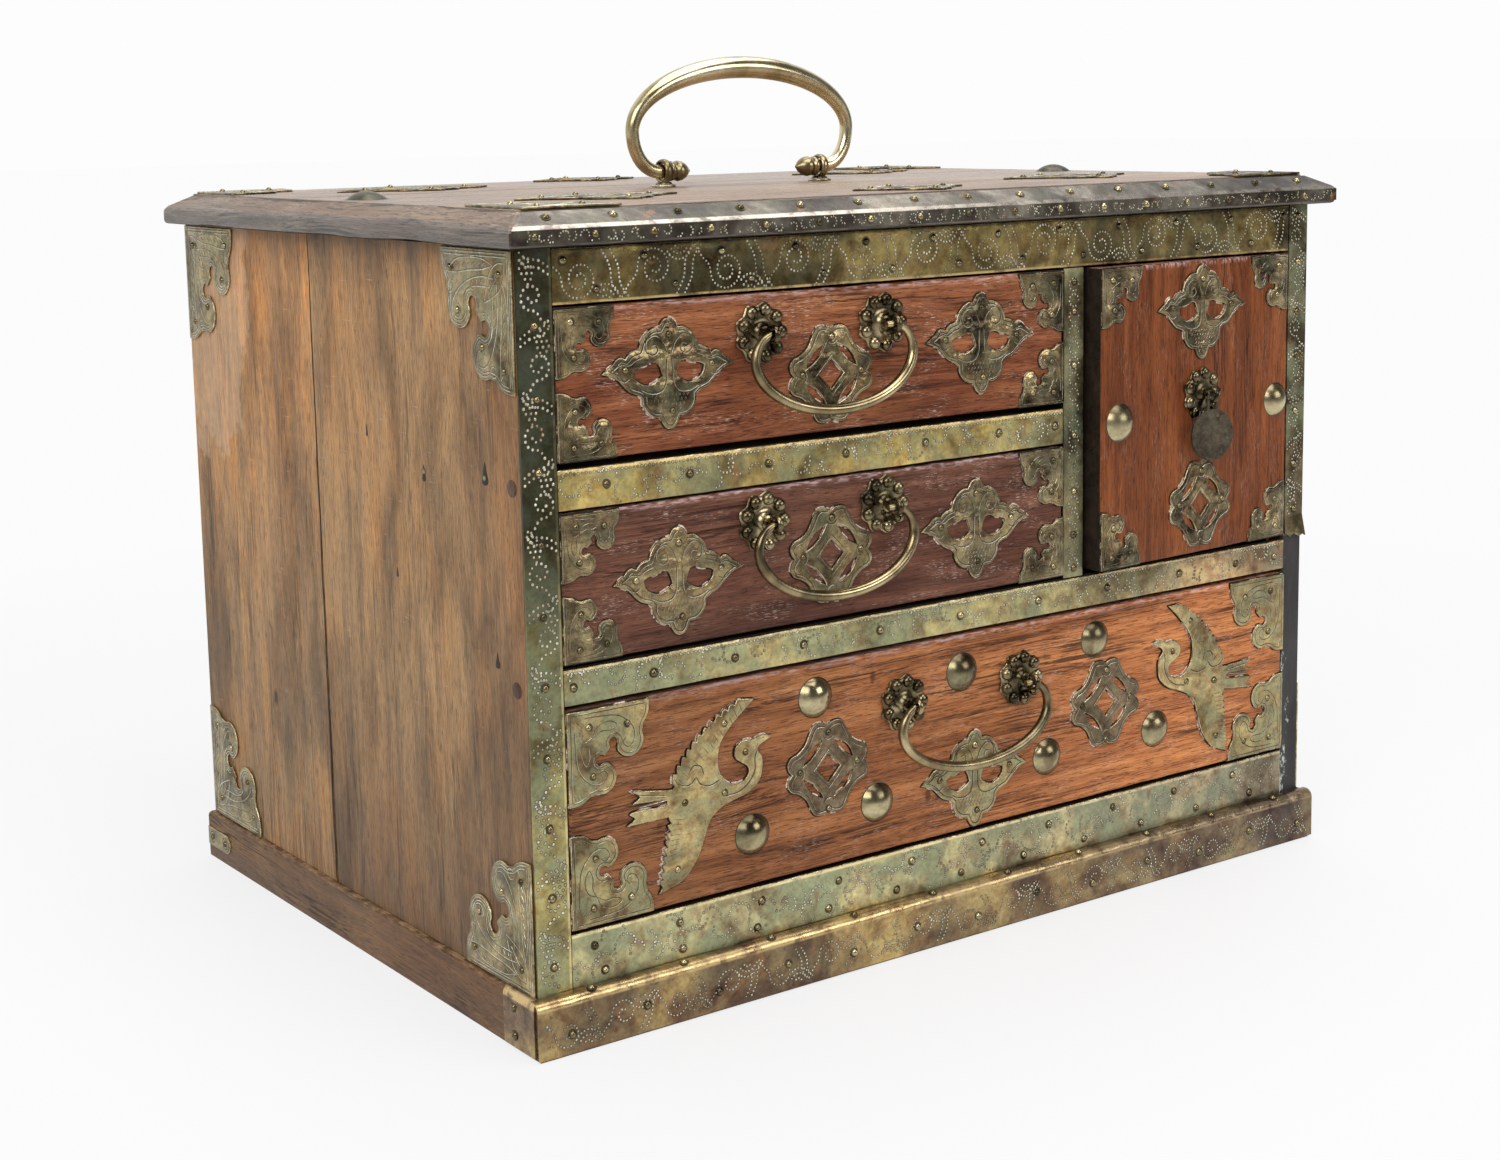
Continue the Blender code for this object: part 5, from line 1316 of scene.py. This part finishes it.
def plain_sides():
    """Board seams and small iron nails on the back and the right side."""
    back = frame_at((0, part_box("back_panel")[1][1] / MM, 0), (-1, 0, 0), (0, 0, 1), (0, 1, 0))
    right = frame_at((SIDE_X, 0, 0), (0, 1, 0), (0, 0, 1), (1, 0, 0))
    seams = [([(at + 0.3 * math.sin(i * 0.8), 22.5 + i * 6.6) for i in range(41)], place)
             for place, at in ((back, -71), (back, 58), (right, 12))]
    open_lines("plain_side_seams", seams, 0.9, 0.06, "case", "side_wood")
    rng = random.Random(90)
    spots = [back @ move(sign * 190 + rng.uniform(-1.5, 1.5), 40 + 57 * i) for side, sign in SIDES
             for i in range(5)]
    spots += [back @ move(-150 + 60 * i, 29 + rng.uniform(-1, 1)) for i in range(6)]
    spots += [right @ move(sign * 134 + 2, z) for side, sign in SIDES for z in (95, 150, 205)]
    pins("plain_side_nails", spots, "case", "side_wood", 1.5, 0.35, DISC_METAL, 91)


plain_sides()


for side, out in SIDES:
    nails = []
    for where, y, sy in (("front", Y_FRONT + 1.2, 1), ("back", BACK_Y - 1.2, -1)):
        for level, z, sz in (("bottom", 21.5, 1), ("top", 286.35, -1)):
            place = frame_at((out * (SIDE_X + GAP), y, z), (0, sy * 0.99, 0), (0, 0, sz * 0.99), (out, 0, 0))
            node = f"{side}_{level}_{where}_corner"
            plates(f"{node}_mount", SIDE_CORNER, [place], "case", PLATE_SIDE, node, thickness=0.8, lit=True)
            nails += pin_places(SIDE_CORNER, [place], 0.7)
    pins(f"{side}_side_pins", nails, "case", seed=30 + out)


def frame_pins():
    """Pins of the face frame, the plinth's front and top, and the lid's front edge and slope."""
    spots = [(x, 203) for x in (-166, -130.5, -95, -58.7, -19.5, 18.7, 49)]
    spots += [(x, 132) for x in (-182, -148, -112, -80, -43, -2, 40, 79, 122, 157, 182)]
    for count, x, x_step, z, z_step in ((12, -181, 33.2, 282.3, 0), (11, -168, 33.2, 271.6, 0),
                                        (10, -176, 37, 36.2, 0), (11, -172, 34, 26, 0),
                                        (10, -193.2, 0, 32, 25.4)):
        spots += [(x + x_step * i, z + z_step * i) for i in range(count)]
    spots += [(59.5, z) for z in (261, 249, 227, 198, 175, 157, 143)]
    spots += [(194, z) for z in (282, 262, 240, 221, 196, 172, 152)]
    places = [front_at(x, z) for x, z in spots]
    places += [front_at(-190 + 32 * i, 8 + 3 * (i % 2), PLINTH_Y) for i in range(13)]
    places += [flat_at(-180 + 40 * i, -146.2, z=22.1) for i in range(10)]
    places += [front_at(-198 + 24 * i, 291.2, LID_Y_LOW) for i in range(17)]
    places += [move(-190 + 27 * i, -147.2, 297.4) @ rotate(28, "X") for i in range(15)]
    return places + [move(sign * 203.6, -131.2, z) @ rotate(90 * sign, "Y") for side, sign in SIDES
                     for z in (5.5, 16)]


pins("frame_pins", frame_pins(), "case", "aged_brass", 1.45, 1.3, seed=50)


def spiral(cx, cy, radius, turns, start, way):
    """From the rim inwards."""
    count = int(turns * 16)
    points = []
    for i in range(count + 1):
        t = i / count
        a = math.radians(start) + way * 2 * math.pi * turns * t
        r = radius * (1 - 0.82 * t)
        points.append((cx + r * math.cos(a), cy + r * math.sin(a)))
    return points


def spaced(line, step):
    """Points at even steps along a line."""
    out, left = [], 0
    for a, b in zip(line, line[1:]):
        a, b = Vector(a), Vector(b)
        way = (b - a).normalized()
        while (b - a).length > 1e-9 and left <= (b - a).length:
            a = a + way * left
            out.append((a.x, a.y))
            left = step
        left -= (b - a).length
    return out


def vine(x0, x1, middle, height, pitch, vertical=False, turns=1.4):
    """Running scrolls: each unit has a big spiral, two sweeps and a fan, by turns up and down."""
    lines = []
    count = max(1, round((x1 - x0) / pitch))
    pitch = (x1 - x0) / count
    for i in range(count):
        up = 1 if i % 2 else -1
        left, r = x0 + pitch * i, min(pitch * 0.27, height * 0.4)
        cx, cy = left + pitch * 0.36, middle + up * (height / 2 - r) * 0.7
        tail = [(left + pitch * a, middle + up * height * b) for a, b in ((-0.08, -0.45), (0.02, -0.2))]
        tail.append((cx - r * 1.05, cy - up * r * 0.3))
        lines += sweeps(1.2, tail + spiral(cx, cy, r, turns, 180, -up)[1:])
        bend = ((0, -0.46), (0.1, -0.15), (0.13, 0.2), (0.24, 0.46))
        for k in range(2):
            x = left + pitch * (0.66 + 0.11 * k)
            lines += sweeps(1.2, [(x + pitch * a, middle + up * height * b) for a, b in bend])
        turn = 90 if up > 0 else 270
        for k in range(3):
            fan_y = middle + up * height * 0.5
            lines.append(arc(left + pitch * 0.7, fan_y, 1.8 + 2 * k, turn + 120, turn + 240, 6))
    return [swapped(line) for line in lines] if vertical else lines


def squiggles(x, z, count, seed, size=4):
    """Short arcs strewn along a strip."""
    rng = random.Random(seed)
    lines = []
    for i in range(count):
        cx = x[0] + (x[1] - x[0]) * (i + 0.5) / count + rng.uniform(-1.5, 1.5)
        cz = rng.uniform(*z)
        start = rng.uniform(0, 360)
        radius = size * rng.uniform(0.6, 1.1)
        lines.append(arc(cx, cz, radius, start, start + rng.choice((-1, 1)) * rng.uniform(120, 260), 9))
    return lines


def punched(name, lines, bounds, y=Y_FRONT, step=1.65, radius=0.5):
    """Rows of punched marks along lines: small beads in pale brass, a painted highlight, each in a dark
    hollow ring of painted shade.
    """
    rng = random.Random(2)
    place = front_at(0, 0, y)
    sides = 7
    bm = bmesh.new()
    for line in lines:
        for u, v in spaced(line, step):
            if not (bounds[0] < u < bounds[1] and bounds[2] < v < bounds[3]):
                continue
            size = radius * rng.uniform(0.8, 1.15)
            rows = []
            for reach, lift in ((1.3, -0.02), (1.15, 0.04), (0.85, 0.04), (0.5, 0.17)):
                ring = circle(u, v, size * reach, sides)
                rows.append([bm.verts.new(place @ Vector((*p, lift))) for p in ring])
            # The outer rows take the dark material, painted shade round each bead; the top takes the pale
            # brass, a painted highlight.
            for k, (low, high) in enumerate(zip(rows, rows[1:])):
                for i in range(sides):
                    face = bm.faces.new((low[i - 1], low[i], high[i], high[i - 1]))
                    face.material_index = int(k < 2)
            bm.faces.new(rows[-1])
    piece(f"{name}_punchwork", recalc(bm), PUNCH, "case", "aged_brass", soft=70, also=(ENGRAVED,))


punched("top_rail", vine(-186, 188, 276.7, 18.5, 30, turns=1.9), (-185, 187.5, 268, 285.6), step=1.55)
punched("left_stile", vine(22, 286, -193, 12.6, 23, True), (-199, -187, 23, 286), step=2.1, radius=0.6)
punched("right_stile", vine(146, 286, 194.2, 10.4, 20, True), (189.4, 199.2, 150, 286))
punched("upper_rail", squiggles((-184, 52), (199, 206), 42, 5) + [[(-184, 207.9), (52, 207.9)]],
        (-185, 52.8, 196.2, 208.9))
punched("lower_rail", squiggles((-184, 187), (128, 136), 66, 6) + [[(-184, 137.1), (187, 137.1)]],
        (-185, 187.4, 126.5, 138.1))
punched("bottom_rail", squiggles((-184, 187), (26, 38), 80, 7, 5), (-185, 187.4, 22.8, 41))
punched("divider", [arc(59.5, 144.5 + 6.4 * i, 2.6, 0, 330, 11) for i in range(19)], (54.9, 64.2, 140, 266))
punched("plinth", vine(-200, 200, 9.5, 14, 24), (-201, 201, 1.6, 17.6), PLINTH_Y, 1.5, 0.42)
punched("lid_edge", squiggles((-203, 203), (290, 291.6), 88, 8, 1.9), (-206, 206, 288.8, 293), LID_Y_LOW,
        1.15, 0.38)


# Camera, light and floor


def camera():
    azimuth, pitch, roll = math.radians(35.7579), math.radians(8.4403), math.radians(-1.0242)
    east, north = math.sin(azimuth), math.cos(azimuth)
    forward = Vector((east * math.cos(pitch), north * math.cos(pitch), -math.sin(pitch)))
    level = Vector((north, -east, 0))
    upward = level.cross(forward)
    right = math.cos(roll) * level + math.sin(roll) * upward
    up = -math.sin(roll) * level + math.cos(roll) * upward
    data = bpy.data.cameras.new("camera")
    data.lens = 54.743
    data.sensor_width = 36
    data.shift_y = -0.0885
    data.clip_start, data.clip_end = 0.01, 50
    obj = placed("camera", data)
    obj.matrix_world = frame_at((-0.58672, -0.81401, 0.33240), right, up, -forward)
    bpy.context.scene.camera = obj


def lamp(name, place, target, size, power):
    data = bpy.data.lights.new(name, "AREA")
    data.shape = "RECTANGLE"
    data.size, data.size_y = size
    data.energy = power
    obj = placed(name, data)
    obj.location = place
    obj.rotation_euler = (Vector(target) - Vector(place)).to_track_quat("-Z", "Y").to_euler()


def floor():
    """Pale floor that melts into the white backdrop away from the chest."""
    bm = bmesh.new()
    bmesh.ops.create_grid(bm, x_segments=1, y_segments=1, size=15)
    m = Mat("floor")
    m.set({"Base Color": (0.7, 0.7, 0.7), "Roughness": 0.6})
    share = m.span(m.far((0, 0, 0)), 200, 900, 0.72, 1).most(m.by("X", -140, -340, 0.72, 0.995))
    glow = (m.by("Y", -1200, -450, 0.42, 1),)
    m.backdrop("ShaderNodeEmission", (0.97, 0.97, 0.972), glow, share, m.shader, "Material Output")
    obj = from_bm("floor", bm, m)


def world():
    """White backdrop; reflections also see a dimmer studio in front of the chest."""
    studio = bpy.data.worlds.new("studio")
    bpy.context.scene.world = studio
    w = Nodes(studio, "Generated", 1)
    light = w.tree.nodes["Background"]
    w.plug((1, 1, 1), light.inputs["Color"])
    w.plug(0.5, light.inputs["Strength"])
    glow = (w.by("Y", -0.1, 0.5, 0.14, 1), w.by("Z", 0.7, 1, 0, 0.7), w.by("X", -0.6, -0.95, 0, 0.6))
    w.backdrop("ShaderNodeBackground", (0.982, 0.982, 0.982), glow, 1, light, "World Output")
    bpy.context.scene.view_settings.view_transform = "Standard"


camera()
floor()
world()
lamp("key", (-1.5, -1.3, 1.5), (0, 0, 0.15), (1.6, 1.2), 28)
lamp("fill", (0.9, -1.6, 0.9), (0, 0, 0.15), (0.9, 0.7), 8)
lamp("top", (0.35, -0.2, 1.85), (0, 0, 0.2), (2.2, 1.3), 27)
